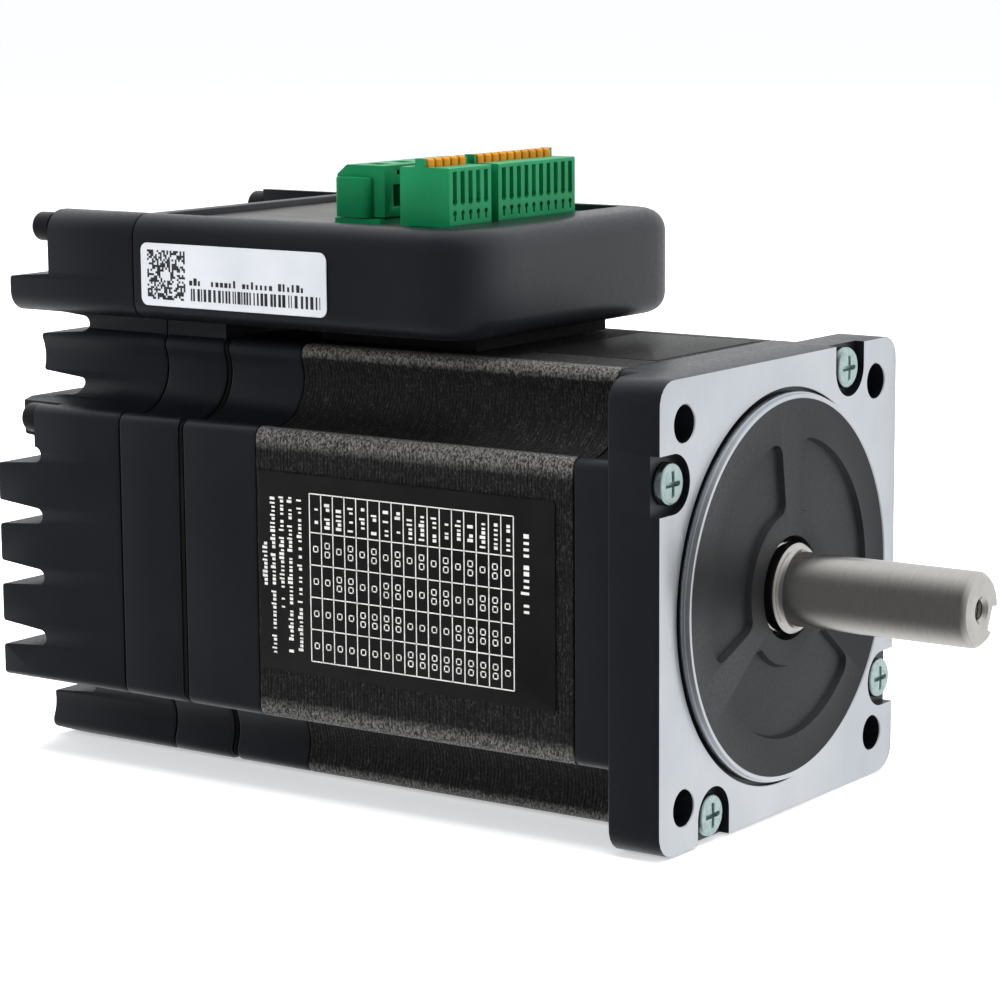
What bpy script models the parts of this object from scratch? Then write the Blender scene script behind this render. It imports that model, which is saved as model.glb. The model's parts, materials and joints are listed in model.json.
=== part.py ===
"""Size 34 closed-loop stepper motor with its driver in an L-shaped housing on top.

Lengths are millimetres and the helpers turn them into metres. Every piece is modelled in the
motor's own datum: X is 0 on the flange's front face and grows out of the shaft, Z is 0 on the
shaft axis. The datum empty then lifts the motor so that the origin lies under its middle.
"""
import math

import bmesh
import bpy
from mathutils import Matrix, Vector

MM = 0.001
GAP = 0.3               # clearance left between pieces that touch
EPS = 1.0               # how far a cutter runs past the face that it opens
ROUND = 48              # steps round a large turned piece
FACET_TURN = math.radians(1.7)      # keeps a turned piece's facet edges off other corners

# flange and front bell
FLANGE_W = 86.0
FLANGE_T = 11.0
FLANGE_CORNER_R = 4.5
PILOT_R = 36.5
PILOT_H = 2.0
PILOT_LAND = 1.0        # width of the machined rim round the pilot's face
PILOT_SINK = 0.3        # how far the painted face lies below that rim
GROOVE_W = 0.8
GROOVE_DEPTH = 1.0
BOLT_SPACING = 69.6
BOLT_R = 3.4
POCKET_IN_R = 14.5
POCKET_OUT_R = 28.3
POCKET_DEPTH = 1.2
POCKET_SPAN = 104.0     # degrees that each of the three face pockets covers
SHAFT_HOLE_R = 9.7

# long screws that clamp the bells to the stack
SCREW_EDGE = 4.6        # screw axis in from the flange's edge
SCREW_SIDE = 24.5       # screw axis from the motor's middle plane
SCREW_R = 2.0
SCREW_HEAD_R = 3.9
SCREW_HEAD_H = 1.6
RECESS_DEPTH = 0.9       # of the cross in a clamp screw's head
SCREW_REACH = 13.0      # how far the screw runs into the rear bell
NOTCH_R = 5.4
NOTCH_DEPTH = 2.0

# body section and lengths, from the front to the back
BODY_W = 85.0
SCALLOP_C = 36.0
SCALLOP_R = 8.7
LOBE_FILLET = 2.2
BELL_LEN = 18.4
STACK_LEN = 72.45
REAR_BELL_LEN = 17.95
GASKET_T = 0.8
GASKET_INSET = 0.4
FRAME_LEN = 14.95
COVER_LEN = 22.15
FRAME_BORE_R = 30.0

# stator inside
STATOR_BORE_R = 31.0
SLOT_OUT_R = 38.3
TEETH = 8
TOOTH_HALF = 13.0       # degrees
COIL_HEAD_LEN = 8.0
COIL_T = 4.8

# rotor and shaft
SHAFT_R = 7.0
SHAFT_OUT = 41.0
SHAFT_CHAMFER = 0.8
JOURNAL_R = 8.5
JOURNAL_OUT = 3.0
ROTOR_SEAT_R = 9.2
REAR_JOURNAL_R = 7.5
TAIL_R = 5.0
KEY_W = 5.0
KEY_DEPTH = 3.0
KEY_LEN = 25.0
KEY_ANGLE = -25.0       # degrees from +Y towards +Z
TAP_R = 2.1
TAP_DEPTH = 12.0
AIR_GAP = 0.6
MAGNET_T = 3.0
ROTOR_MARGIN = 3.0      # how far the rotor stays inside the stack's ends

# bearings
FRONT_BEARING_R = 17.5
FRONT_BEARING_W = 10.0
REAR_BEARING_R = 16.0
REAR_BEARING_W = 9.0
RACE_T = 2.6
SHIELD_T = 0.8
SEAT_WALL = 4.4
BEARING_SETBACK = 3.0   # bearing behind the flange's front face
WASHER_T = 0.6
REAR_WALL = 3.0

# encoder
POST_R = 3.5
POST_C = 22.0
POST_LEN = 15.8
BOARD_T = 1.6
ENCODER_BOARD_R = 27.0
DISC_R = 15.0
DISC_T = 1.6
SMALL_SCREW_R = 1.3
SMALL_HEAD_R = 2.6
SMALL_HEAD_H = 1.8

# driver box
BOX_W = 74.0
BOX_CLEAR = 3.5         # between the motor's top and the box's underside
BOX_H = 20.6
BOX_REACH = 66.8        # how far the box runs forward of its frame
BOX_CORNER_R = 12.0
BOX_EDGE_R = 4.5
BOX_WALL = 3.0
BOX_ROOF = 4.0
NECK_INSET = 0.3
PASSAGE_W = 20.0
REAR_RAIL = 3.8         # solid behind the cavity, for the upper cover screws

# deck plate set into the roof
DECK_SINK = 1.3
DECK_T = 1.0
DECK_EDGE_SIDE = 6.0
DECK_EDGE_FRONT = 12.0
DECK_EDGE_REAR = 2.8
DECK_LEDGE = 2.0

# rear cover
FIN_PITCH = 12.45
FIN_TIP_W = 7.7
FIN_ROOT_W = 9.3
FIN_DEPTH = 10.4
FIN_START = -0.5        # height of the middle fin
FINS_BELOW = 3
FINS_ABOVE = 4
COVER_BACK_WALL = 4.0
SHOULDER_FIN_HALF = 34.0
TOP_CUT_DEPTH = 6.6
TOP_CUT_HALF = 31.0
COVER_SCREW_R = 1.5
COVER_HEAD_R = 2.9
COVER_HEAD_H = 4.6
COVER_SCREW_BITE = 7.0
COVER_SCREW_Y = 38.5
COVER_SCREW_Z = 25.0
UPPER_SCREW_Y = 33.8
UPPER_SCREW_DROP = 3.5  # below the box's top

# board and what stands on it
PAD_T = 1.4
PAD_HALF = 22.0         # half width of the pad between the stack and the box
BOARD_MARGIN = 2.0
CAP_R = 4.6
CAP_LEN = 21.0
CAP_SPREAD = 12.0

# terminal plugs
PITCH = 2.5
PLUG_END = 0.6          # plug end wall past the outer pitch lines
PLUG_X = 11.5
PLUG_H = 11.0
PLUG_LIFT = 0.9         # plug's foot above the deck
PLUG_SETBACK = 1.0      # plug's front behind the deck's front edge
PLUG_SPLIT = 2.2        # between the two plugs
PLUG_ROW_START = -26.2
WIRE_GROOVE_W = 1.4
WIRE_GROOVE_DEPTH = 1.3
WIRE_GROOVE_LOW = 4.6
WIRE_GROOVE_TOP = 0.7
TEST_HOLE = 1.0
TEST_HOLE_UP = 1.7
LEVER_X = 4.2
LEVER_H = 6.2
LEVER_OUT = 1.6
LEVER_GAP = 0.6         # between neighbouring levers
LEVER_FRONT = 5.0       # front edge of the lever channel behind the plug's face
LEVER_TRAVEL = 1.0
PIN_W = 0.9
PIN_UP = 5.0
SOCKET_W = 1.6

# power connector
POWER_LEN = 36.0
POWER_END = 1.7
POWER_X = 11.5
POWER_H = 9.9
POWER_END_H = 7.5
POWER_END_X = 8.4
POWER_BEHIND = 11.0     # clear space between the plugs and the power connector
POWER_POLES = 4
POWER_PITCH = 7.62
POWER_PIN_W = 1.8

# labels
LABEL_T = 0.25
LABEL_OFF = 0.2
SERIAL_W = 45.8
SERIAL_H = 12.2
SERIAL_BACK = 2.4       # label's back edge ahead of the cover's seam
SERIAL_UP = 3.2
TABLE_W = 68.0
TABLE_H = 38.5
TABLE_BACK = 0.9
TABLE_MID = 0.8

# places along X that follow from the lengths
BELL_BACK = -BELL_LEN
STACK_FRONT = BELL_BACK - GAP
STACK_BACK = STACK_FRONT - STACK_LEN
REAR_BELL_FRONT = STACK_BACK - GAP
REAR_BELL_BACK = REAR_BELL_FRONT - REAR_BELL_LEN
GASKET_FRONT = REAR_BELL_BACK - GAP
GASKET_BACK = GASKET_FRONT - GASKET_T
FRAME_FRONT = GASKET_BACK - GAP
FRAME_BACK = FRAME_FRONT - FRAME_LEN
COVER_FRONT = FRAME_BACK - GAP
COVER_BACK = COVER_FRONT - COVER_LEN
FIN_TIP = COVER_BACK - FIN_DEPTH

# heights and widths that follow
BODY_HALF = BODY_W / 2
FLANGE_HALF = FLANGE_W / 2
SCREW_OUT = FLANGE_HALF - SCREW_EDGE
BOX_LOW = BODY_HALF + BOX_CLEAR
BOX_TOP = BOX_LOW + BOX_H
BOX_HALF = BOX_W / 2
BOX_FRONT = FRAME_FRONT + BOX_REACH
NECK_HALF = SCALLOP_C - SCALLOP_R - NECK_INSET
CAVITY_HALF = BOX_HALF - BOX_WALL
CAVITY_LOW = BOX_LOW + BOX_WALL
CAVITY_TOP = BOX_TOP - BOX_ROOF
CAVITY_BACK = FRAME_BACK + REAR_RAIL
MOUTH_TOP = BOX_TOP - TOP_CUT_DEPTH - BOX_WALL
DECK_TOP = BOX_TOP - DECK_SINK
DECK_FRONT = BOX_FRONT - DECK_EDGE_FRONT
DECK_BACK = FRAME_BACK + DECK_EDGE_REAR
DECK_HALF = BOX_HALF - DECK_EDGE_SIDE
BOARD_LOW = CAVITY_LOW + GAP + PAD_T + GAP
BOARD_TOP = BOARD_LOW + BOARD_T
PLUG_FRONT = DECK_FRONT - PLUG_SETBACK
PLUG_BACK = PLUG_FRONT - PLUG_X
PLUG_LOW = DECK_TOP + PLUG_LIFT
PLUG_TOP = PLUG_LOW + PLUG_H
POWER_FRONT = PLUG_BACK - POWER_BEHIND
POWER_BACK = POWER_FRONT - POWER_X
LEVER_HIGH = PLUG_TOP + LEVER_OUT

# bearing and rotor places
FRONT_BEARING_FRONT = -BEARING_SETBACK
FRONT_BEARING_BACK = FRONT_BEARING_FRONT - FRONT_BEARING_W
REAR_WALL_FRONT = REAR_BELL_BACK + REAR_WALL
WASHER_BACK = REAR_WALL_FRONT + GAP
REAR_BEARING_BACK = WASHER_BACK + WASHER_T + GAP
REAR_BEARING_FRONT = REAR_BEARING_BACK + REAR_BEARING_W
ROTOR_FRONT = STACK_FRONT - ROTOR_MARGIN
ROTOR_BACK = STACK_BACK + ROTOR_MARGIN
ROTOR_MID = (ROTOR_FRONT + ROTOR_BACK) / 2
ROTOR_R = STATOR_BORE_R - AIR_GAP
POST_BACK = REAR_BELL_BACK - POST_LEN
ENCODER_BOARD_FRONT = POST_BACK - GAP
ENCODER_BOARD_BACK = ENCODER_BOARD_FRONT - BOARD_T
TAIL_BACK = ENCODER_BOARD_FRONT + 4.0
DISC_BACK = TAIL_BACK + 1.0

# colour, metallic, roughness
FINISHES = {
    "black_cast": ((0.017, 0.019, 0.024), 0.2, 0.42),
    "stack_black": ((0.014, 0.014, 0.014), 0.2, 0.6),
    "machined_aluminium": ((0.55, 0.57, 0.6), 1.0, 0.35),
    "shaft_steel": ((0.5, 0.48, 0.45), 1.0, 0.28),
    "bearing_steel": ((0.45, 0.46, 0.47), 1.0, 0.25),
    "zinc_screw": ((0.5, 0.6, 0.58), 1.0, 0.3),
    "black_screw": ((0.02, 0.02, 0.022), 0.6, 0.4),
    "terminal_green": ((0.012, 0.3, 0.11), 0.0, 0.4),
    "lever_orange": ((0.75, 0.27, 0.02), 0.0, 0.4),
    "label_silver": ((0.62, 0.64, 0.68), 0.3, 0.4),
    "label_black": ((0.02, 0.02, 0.02), 0.0, 0.5),
    "deck_grey": ((0.05, 0.05, 0.05), 0.3, 0.4),
    "copper_coil": ((0.45, 0.14, 0.05), 0.8, 0.4),
    "core_steel": ((0.2, 0.2, 0.2), 0.9, 0.45),
    "magnet_grey": ((0.1, 0.1, 0.11), 0.5, 0.5),
    "board_green": ((0.01, 0.12, 0.04), 0.0, 0.5),
    "seal_black": ((0.01, 0.01, 0.01), 0.0, 0.8),
    "can_blue": ((0.02, 0.04, 0.12), 0.2, 0.35),
    "pad_grey": ((0.25, 0.26, 0.28), 0.0, 0.8),
}

# how a flat outline's plane is turned: its first and second directions, then the extrusion's
PLANES = {
    "X": Matrix(((0, 0, 1, 0), (1, 0, 0, 0), (0, 1, 0, 0), (0, 0, 0, 1))),
    "Y": Matrix(((1, 0, 0, 0), (0, 0, -1, 0), (0, 1, 0, 0), (0, 0, 0, 1))),
    "Z": Matrix.Identity(4),
}
# turns a shape made along +Z so that it runs along +X or +Y
AXES = {
    "X": Matrix.Rotation(math.radians(90), 4, "Y"),
    "Y": Matrix.Rotation(math.radians(-90), 4, "X"),
    "Z": Matrix.Identity(4),
}


def clear_scene():
    for old in list(bpy.data.objects):
        bpy.data.objects.remove(old, do_unlink=True)


def new_collection(name):
    collection = bpy.data.collections.new(name)
    bpy.context.scene.collection.children.link(collection)
    return collection


def new_empty(name, place, parent=None):
    empty = bpy.data.objects.new(name, None)
    empty.location = Vector(place) * MM
    empty.parent = parent
    PARTS.objects.link(empty)
    return empty


def make_material(name):
    colour, metallic, roughness = FINISHES[name]
    material = bpy.data.materials.new(name)
    material.use_nodes = True
    shader = material.node_tree.nodes["Principled BSDF"]
    shader.inputs["Base Color"].default_value = (*colour, 1.0)
    shader.inputs["Metallic"].default_value = metallic
    shader.inputs["Roughness"].default_value = roughness
    return material


def add_object(name, mesh, collection=None):
    """Links a mesh as an object on the datum; pieces get their finish and parent in piece()."""
    made = bpy.data.objects.new(name, mesh)
    made.parent = DATUM
    (collection or CUTTERS).objects.link(made)
    if collection is None:
        made.hide_render = True
        made.display_type = "WIRE"
    return made


def piece(made, finish, parent=None):
    """Turns a shape into one of the motor's pieces."""
    for collection in list(made.users_collection):
        collection.objects.unlink(made)
    PARTS.objects.link(made)
    made.hide_render = False
    made.display_type = "TEXTURED"
    made.data.materials.clear()
    made.data.materials.append(MATERIALS[finish])
    if parent is not None:
        made.location = made.location - parent.location
        made.parent = parent
    return made


def mesh_from(bm, name):
    mesh = bpy.data.meshes.new(name)
    bm.to_mesh(mesh)
    bm.free()
    return mesh


def boxes(name, corners):
    """Boxes in one mesh, each from its lowest to its highest corner."""
    bm = bmesh.new()
    for low, high in corners:
        middle = (Vector(low) + Vector(high)) / 2 * MM
        size = (Vector(high) - Vector(low)) * MM
        place = Matrix.Translation(middle) @ Matrix.Diagonal((*size, 1.0))
        bmesh.ops.create_cube(bm, size=1.0, matrix=place)
    return add_object(name, mesh_from(bm, name))


def rods(name, centres, radius, low, high, axis="X", segments=16):
    """Cylinders of one size in one mesh; a centre is the two places across the axis."""
    bm = bmesh.new()
    for across, up in centres:
        middle = {"X": ((low + high) / 2, across, up), "Y": (across, (low + high) / 2, up),
                  "Z": (across, up, (low + high) / 2)}[axis]
        place = Matrix.Translation(Vector(middle) * MM) @ AXES[axis]
        bmesh.ops.create_cone(bm, cap_ends=True, segments=segments, radius1=radius * MM,
                              radius2=radius * MM, depth=(high - low) * MM, matrix=place)
    mesh = mesh_from(bm, name)
    mesh.shade_smooth()
    mesh.set_sharp_from_angle(angle=math.radians(35))
    return add_object(name, mesh)


def turned(name, profile, steps=ROUND):
    """A profile of (radius, x) points turned about the shaft axis, from its front to its back."""
    bm = bmesh.new()
    points = [bm.verts.new((radius * MM, 0.0, x * MM)) for radius, x in profile]
    for first, second in zip(points, points[1:]):
        bm.edges.new((first, second))
    if profile[0][0] > 0:
        bm.edges.new((points[-1], points[0]))
    bmesh.ops.rotate(bm, verts=bm.verts, cent=(0, 0, 0), matrix=Matrix.Rotation(FACET_TURN, 3, "Z"))
    made = add_object(name, mesh_from(bm, name))
    made.rotation_euler = (0.0, math.radians(90), 0.0)
    screw = made.modifiers.new("turn", "SCREW")
    screw.steps = steps
    screw.render_steps = steps
    screw.use_merge_vertices = True
    screw.merge_threshold = 0.00001
    screw.use_smooth_shade = False
    return made


def ring(name, inner, outer, back, front, steps=ROUND):
    return turned(name, [(inner, front), (outer, front), (outer, back), (inner, back)], steps)


def extruded(name, outline, low, high, axis="X"):
    """A flat outline as a filled 2D curve, made a mesh so that Booleans can use it."""
    curve = bpy.data.curves.new(name, "CURVE")
    curve.dimensions = "2D"
    curve.fill_mode = "BOTH"
    curve.extrude = (high - low) / 2 * MM
    spline = curve.splines.new("POLY")
    spline.points.add(len(outline) - 1)
    for point, (first, second) in zip(spline.points, outline):
        point.co = (first * MM, second * MM, 0.0, 1.0)
    spline.use_cyclic_u = True
    drawn = bpy.data.objects.new(name, curve)
    CUTTERS.objects.link(drawn)
    bpy.context.view_layer.update()
    evaluated = drawn.evaluated_get(bpy.context.evaluated_depsgraph_get())
    bm = bmesh.new()
    bm.from_mesh(bpy.data.meshes.new_from_object(evaluated))
    bpy.data.objects.remove(drawn, do_unlink=True)
    bmesh.ops.remove_doubles(bm, verts=bm.verts, dist=0.000001)
    bmesh.ops.dissolve_limit(bm, angle_limit=0.0001, verts=bm.verts, edges=bm.edges)
    bmesh.ops.recalc_face_normals(bm, faces=bm.faces)
    middle = (low + high) / 2 * MM * (-1 if axis == "Y" else 1)
    bm.transform(PLANES[axis] @ Matrix.Translation((0.0, 0.0, middle)))
    return add_object(name, mesh_from(bm, name))


def joined(name, parts):
    """Several cutters in one mesh."""
    bm = bmesh.new()
    for part in parts:
        bm.from_mesh(part.data)
        bpy.data.objects.remove(part, do_unlink=True)
    return add_object(name, mesh_from(bm, name))


def combine(target, other, operation):
    boolean = target.modifiers.new(other.name, "BOOLEAN")
    boolean.operation = operation
    boolean.object = other
    boolean.solver = "EXACT"
    return target


def cut(target, *others):
    for other in others:
        combine(target, other, "DIFFERENCE")
    return target


def join_to(target, *others):
    for other in others:
        combine(target, other, "UNION")
    return target


def bevel(target, width, segments=1, angle=40.0):
    rounding = target.modifiers.new("edges", "BEVEL")
    rounding.width = width * MM
    rounding.segments = segments
    rounding.limit_method = "ANGLE"
    rounding.angle_limit = math.radians(angle)
    return target


def arc(centre_a, centre_b, radius, start, end, steps):
    """Points round an arc, both ends included; angles in degrees."""
    turns = [math.radians(start + (end - start) * step / steps) for step in range(steps + 1)]
    return [(centre_a + radius * math.cos(turn), centre_b + radius * math.sin(turn)) for turn in turns]


def rounded_rectangle(low, high, radii, steps=4):
    """Corners in the order low-low, high-low, high-high, low-high, each with its own radius."""
    (a0, b0), (a1, b1) = low, high
    corners = ((a0, b0, 180), (a1, b0, 270), (a1, b1, 0), (a0, b1, 90))
    outline = []
    for (a, b, start), radius in zip(corners, radii):
        centre_a = a + radius if a == a0 else a - radius
        centre_b = b + radius if b == b0 else b - radius
        outline += arc(centre_a, centre_b, radius, start, start + 90, steps)
    return outline


def quarter_turns(outline):
    """The outline repeated at each quarter turn about the shaft axis."""
    turns = [outline]
    for _ in range(3):
        turns.append([(-b, a) for a, b in turns[-1]])
    return turns


def body_section(half):
    """The square section with a scallop at each corner for the mounting bolts."""
    reach = SCALLOP_R + LOBE_FILLET
    across = half - LOBE_FILLET - SCALLOP_C
    drop = math.sqrt(reach ** 2 - across ** 2)
    lean = math.degrees(math.atan2(across, drop))
    near, far = half - LOBE_FILLET, SCALLOP_C - drop
    quarter = arc(near, far, LOBE_FILLET, 0, 90 + lean, 4)
    quarter += arc(SCALLOP_C, SCALLOP_C, SCALLOP_R, -90 + lean, -180 - lean, 10)[1:-1]
    quarter += arc(far, near, LOBE_FILLET, -lean, 90, 4)
    return [point for turn in quarter_turns(quarter) for point in turn]


def screw_centres():
    """The four clamp screws, turned round the motor like a pinwheel."""
    return [turn[0] for turn in quarter_turns([(-SCREW_OUT, SCREW_SIDE)])]


def front_bell():
    corners = rounded_rectangle((-FLANGE_HALF, -FLANGE_HALF), (FLANGE_HALF, FLANGE_HALF),
                                [FLANGE_CORNER_R] * 4)
    bell = extruded("front_bell", corners, -FLANGE_T, PILOT_H + EPS)
    lobes = extruded("bell_lobes", body_section(BODY_HALF), BELL_BACK, -FLANGE_T + EPS)
    rim = PILOT_R - PILOT_LAND
    painted = PILOT_H - PILOT_SINK
    above = PILOT_H + 2 * EPS
    seat_r = FRONT_BEARING_R + GAP
    seat_back = FRONT_BEARING_BACK - GAP
    hub = seat_r + SEAT_WALL
    room_front = BELL_BACK + COIL_HEAD_LEN + 2 * GAP
    turning = turned("bell_turning", [
        (0, above), (FLANGE_W, above), (FLANGE_W, 0), (PILOT_R + GROOVE_W, 0),
        (PILOT_R + GROOVE_W, -GROOVE_DEPTH), (PILOT_R, -GROOVE_DEPTH), (PILOT_R, PILOT_H - 0.4),
        (PILOT_R - 0.4, PILOT_H), (rim, PILOT_H), (rim, painted), (SHAFT_HOLE_R, painted),
        (SHAFT_HOLE_R, FRONT_BEARING_FRONT + GAP), (seat_r, FRONT_BEARING_FRONT + GAP), (seat_r, seat_back),
        (hub, seat_back), (hub, room_front), (SLOT_OUT_R, room_front), (SLOT_OUT_R, BELL_BACK - EPS),
        (0, BELL_BACK - EPS)])
    pockets = []
    for third in range(3):
        start = 90 + (120 - POCKET_SPAN) / 2 + 120 * third
        sector = arc(0, 0, POCKET_OUT_R, start, start + POCKET_SPAN, 10)
        sector += arc(0, 0, POCKET_IN_R, start + POCKET_SPAN, start, 8)
        pockets.append(extruded("pocket", sector, painted - POCKET_DEPTH, painted + EPS))
    half_bolt = BOLT_SPACING / 2
    bolts = rods("bolt_holes", [(y, z) for y in (-half_bolt, half_bolt) for z in (-half_bolt, half_bolt)],
                 BOLT_R, -FLANGE_T - EPS, EPS, segments=20)
    notch = arc(-SCREW_OUT, SCREW_SIDE, NOTCH_R, -90, 90, 8)
    notch += [(-FLANGE_HALF - EPS, SCREW_SIDE + NOTCH_R), (-FLANGE_HALF - EPS, SCREW_SIDE - NOTCH_R)]
    notches = [extruded("notch", turn, -NOTCH_DEPTH, EPS) for turn in quarter_turns(notch)]
    holes = rods("bell_screw_holes", screw_centres(), SCREW_R + GAP, BELL_BACK - EPS, EPS, segments=12)
    join_to(bell, lobes)
    cut(bell, turning, bolts, holes)
    cut(bell, joined("face_pockets", pockets), joined("screw_notches", notches))
    return piece(bell, "black_cast")


def stator():
    stack = extruded("stator_stack", body_section(BODY_HALF), STACK_BACK, STACK_FRONT)
    step = 360 / TEETH
    star = []
    for tooth in range(TEETH):
        star += arc(0, 0, STATOR_BORE_R, step * tooth - TOOTH_HALF, step * tooth + TOOTH_HALF, 3)
        star += arc(0, 0, SLOT_OUT_R, step * tooth + TOOTH_HALF, step * (tooth + 1) - TOOTH_HALF, 3)
    bore = extruded("stator_bore", star, STACK_BACK - EPS, STACK_FRONT + EPS)
    holes = rods("stack_screw_holes", screw_centres(), SCREW_R + GAP, STACK_BACK - EPS, STACK_FRONT + EPS,
                 segments=12)
    piece(cut(stack, bore, holes), "stack_black")

    outer = SLOT_OUT_R - 0.7
    inner = outer - COIL_T
    coil = ring("stator_winding", inner, outer, STACK_FRONT + GAP, STACK_FRONT + COIL_HEAD_LEN)
    rear_head = ring("rear_coil_head", inner, outer, STACK_BACK - COIL_HEAD_LEN, STACK_BACK - GAP)
    half = inner * math.sin(math.radians(step / 2 - TOOTH_HALF)) - 0.7
    bm = bmesh.new()
    for slot in range(TEETH):
        angle = math.radians(step * (slot + 0.5))
        size = Matrix.Diagonal(((STACK_LEN + COIL_HEAD_LEN) * MM, (COIL_T - 1.2) * MM, 2 * half * MM, 1.0))
        middle = Vector(((STACK_FRONT + STACK_BACK) / 2, inner + COIL_T / 2 - 0.2, 0.0)) * MM
        place = Matrix.Rotation(angle, 4, "X") @ Matrix.Translation(middle) @ size
        bmesh.ops.create_cube(bm, size=1.0, matrix=place)
    bars = add_object("coil_sides", mesh_from(bm, "coil_sides"))
    piece(join_to(coil, bars, rear_head), "copper_coil")


def rear_bell():
    bell = extruded("rear_bell", body_section(BODY_HALF), REAR_BELL_BACK, REAR_BELL_FRONT)
    seat_r = REAR_BEARING_R + GAP
    mouth = REAR_BELL_FRONT + EPS
    tail_hole = REAR_JOURNAL_R + 0.8
    bore = turned("rear_bore", [(0, mouth), (seat_r, mouth), (seat_r, REAR_WALL_FRONT),
                  (tail_hole, REAR_WALL_FRONT), (tail_hole, REAR_BELL_BACK - EPS), (0, REAR_BELL_BACK - EPS)])
    deep = REAR_BELL_FRONT - COIL_HEAD_LEN - GAP
    room = ring("rear_coil_room", seat_r + SEAT_WALL, SLOT_OUT_R, deep, mouth)
    posts = rods("encoder_posts", [(0, POST_C), (0, -POST_C)], POST_R, POST_BACK, REAR_BELL_BACK + EPS)
    centres = [(0, POST_C), (0, -POST_C)]
    taps = rods("post_taps", centres, SMALL_SCREW_R + GAP, POST_BACK - EPS, POST_BACK + 9.0, segments=10)
    reach = REAR_BELL_FRONT - SCREW_REACH
    holes = rods("rear_screw_holes", screw_centres(), SCREW_R + GAP, reach - 1.0, mouth, segments=12)
    join_to(bell, posts)
    piece(cut(bell, bore, room, taps, holes), "black_cast")

    gasket = extruded("motor_gasket", body_section(BODY_HALF - GASKET_INSET), GASKET_BACK, GASKET_FRONT)
    opening = rods("gasket_bore", [(0, 0)], FRAME_BORE_R, GASKET_BACK - EPS, GASKET_FRONT + EPS,
                   segments=ROUND)
    piece(cut(gasket, opening), "seal_black")


def cover_screw_places():
    lower = [(y, z) for y in (-COVER_SCREW_Y, COVER_SCREW_Y) for z in (COVER_SCREW_Z, -COVER_SCREW_Z)]
    return lower, [(y, BOX_TOP - UPPER_SCREW_DROP) for y in (-UPPER_SCREW_Y, UPPER_SCREW_Y)]


def neck(name, low, high):
    """The web that carries the driver box over the motor's top."""
    return boxes(name, [((low, -NECK_HALF, SCALLOP_C), (high, NECK_HALF, BOX_LOW + BOX_WALL / 2))])


def driver_housing():
    housing = extruded("driver_housing", body_section(BODY_HALF), FRAME_BACK, FRAME_FRONT)
    plan = rounded_rectangle((FRAME_BACK - 20, -BOX_HALF), (BOX_FRONT, BOX_HALF), [BOX_CORNER_R] * 4, steps=6)
    box = bevel(extruded("driver_box", plan, BOX_LOW, BOX_TOP, "Z"), BOX_EDGE_R, segments=4, angle=60)
    trim = boxes("box_trim", [((FRAME_BACK - 40, -BOX_HALF - 5, BOX_LOW - 5),
                               (FRAME_BACK, BOX_HALF + 5, BOX_TOP + 5))])
    cut(box, trim)
    bore = rods("frame_bore", [(0, 0)], FRAME_BORE_R, FRAME_BACK - EPS, FRAME_FRONT + EPS, segments=ROUND)
    inside = BOX_CORNER_R - BOX_WALL
    hollow = rounded_rectangle((CAVITY_BACK, -CAVITY_HALF), (BOX_FRONT - BOX_WALL, CAVITY_HALF),
                               [1.0, inside, inside, 1.0])
    cavity = extruded("box_cavity", hollow, CAVITY_LOW, CAVITY_TOP, "Z")
    mouth = boxes("box_mouth", [((FRAME_BACK - EPS, -CAVITY_HALF + 1, CAVITY_LOW),
                                 (CAVITY_BACK + EPS, CAVITY_HALF - 1, MOUTH_TOP))])
    passage = boxes("lead_passage", [((FRAME_BACK + 2.5, -PASSAGE_W / 2, FRAME_BORE_R - 8),
                                      (FRAME_FRONT - 2.5, PASSAGE_W / 2, CAVITY_LOW + EPS))])
    seat = rounded_rectangle((DECK_BACK, -DECK_HALF), (DECK_FRONT, DECK_HALF), [2.0] * 4)
    recess = extruded("deck_recess", seat, DECK_TOP - DECK_T - GAP, BOX_TOP + EPS, "Z")
    inner = rounded_rectangle((CAVITY_BACK + DECK_LEDGE, -DECK_HALF + DECK_LEDGE),
                              (DECK_FRONT - DECK_LEDGE, DECK_HALF - DECK_LEDGE), [1.0] * 4)
    window = extruded("deck_window", inner, CAVITY_TOP - EPS, BOX_TOP, "Z")
    lower, upper = cover_screw_places()
    holes = rods("frame_taps", lower + upper, COVER_SCREW_R + GAP, FRAME_BACK - EPS,
                 FRAME_BACK + REAR_RAIL - 0.6, segments=10)
    deep = rods("frame_deep_taps", lower, COVER_SCREW_R + GAP, FRAME_BACK, FRAME_BACK + COVER_SCREW_BITE + 1,
                segments=10)
    join_to(housing, neck("housing_neck", FRAME_BACK, FRAME_FRONT), box)
    cut(housing, bore, cavity, mouth, passage, recess, window, holes, deep)
    return piece(housing, "black_cast")


def fin_profile():
    """Side outline that the rear cover keeps: fins with tapered flanks and round gullets."""
    top, bottom = BOX_TOP + 5, -BODY_HALF - 5
    outline = [(COVER_FRONT + 5, bottom), (COVER_FRONT + 5, top), (COVER_BACK, top)]
    gullet_r = (FIN_PITCH - FIN_ROOT_W) / 2
    for fin in range(FINS_ABOVE, -FINS_BELOW - 1, -1):
        middle = FIN_START + FIN_PITCH * fin
        outline.append((COVER_BACK, middle + FIN_ROOT_W / 2))
        outline.append((FIN_TIP, middle + FIN_TIP_W / 2))
        outline.append((FIN_TIP, middle - FIN_TIP_W / 2))
        if fin > -FINS_BELOW:
            outline += arc(COVER_BACK, middle - FIN_PITCH / 2, gullet_r, 90, -90, 4)[:-1]
    outline.append((COVER_BACK, middle - FIN_ROOT_W / 2))
    outline.append((COVER_BACK, bottom))
    return outline


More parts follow.
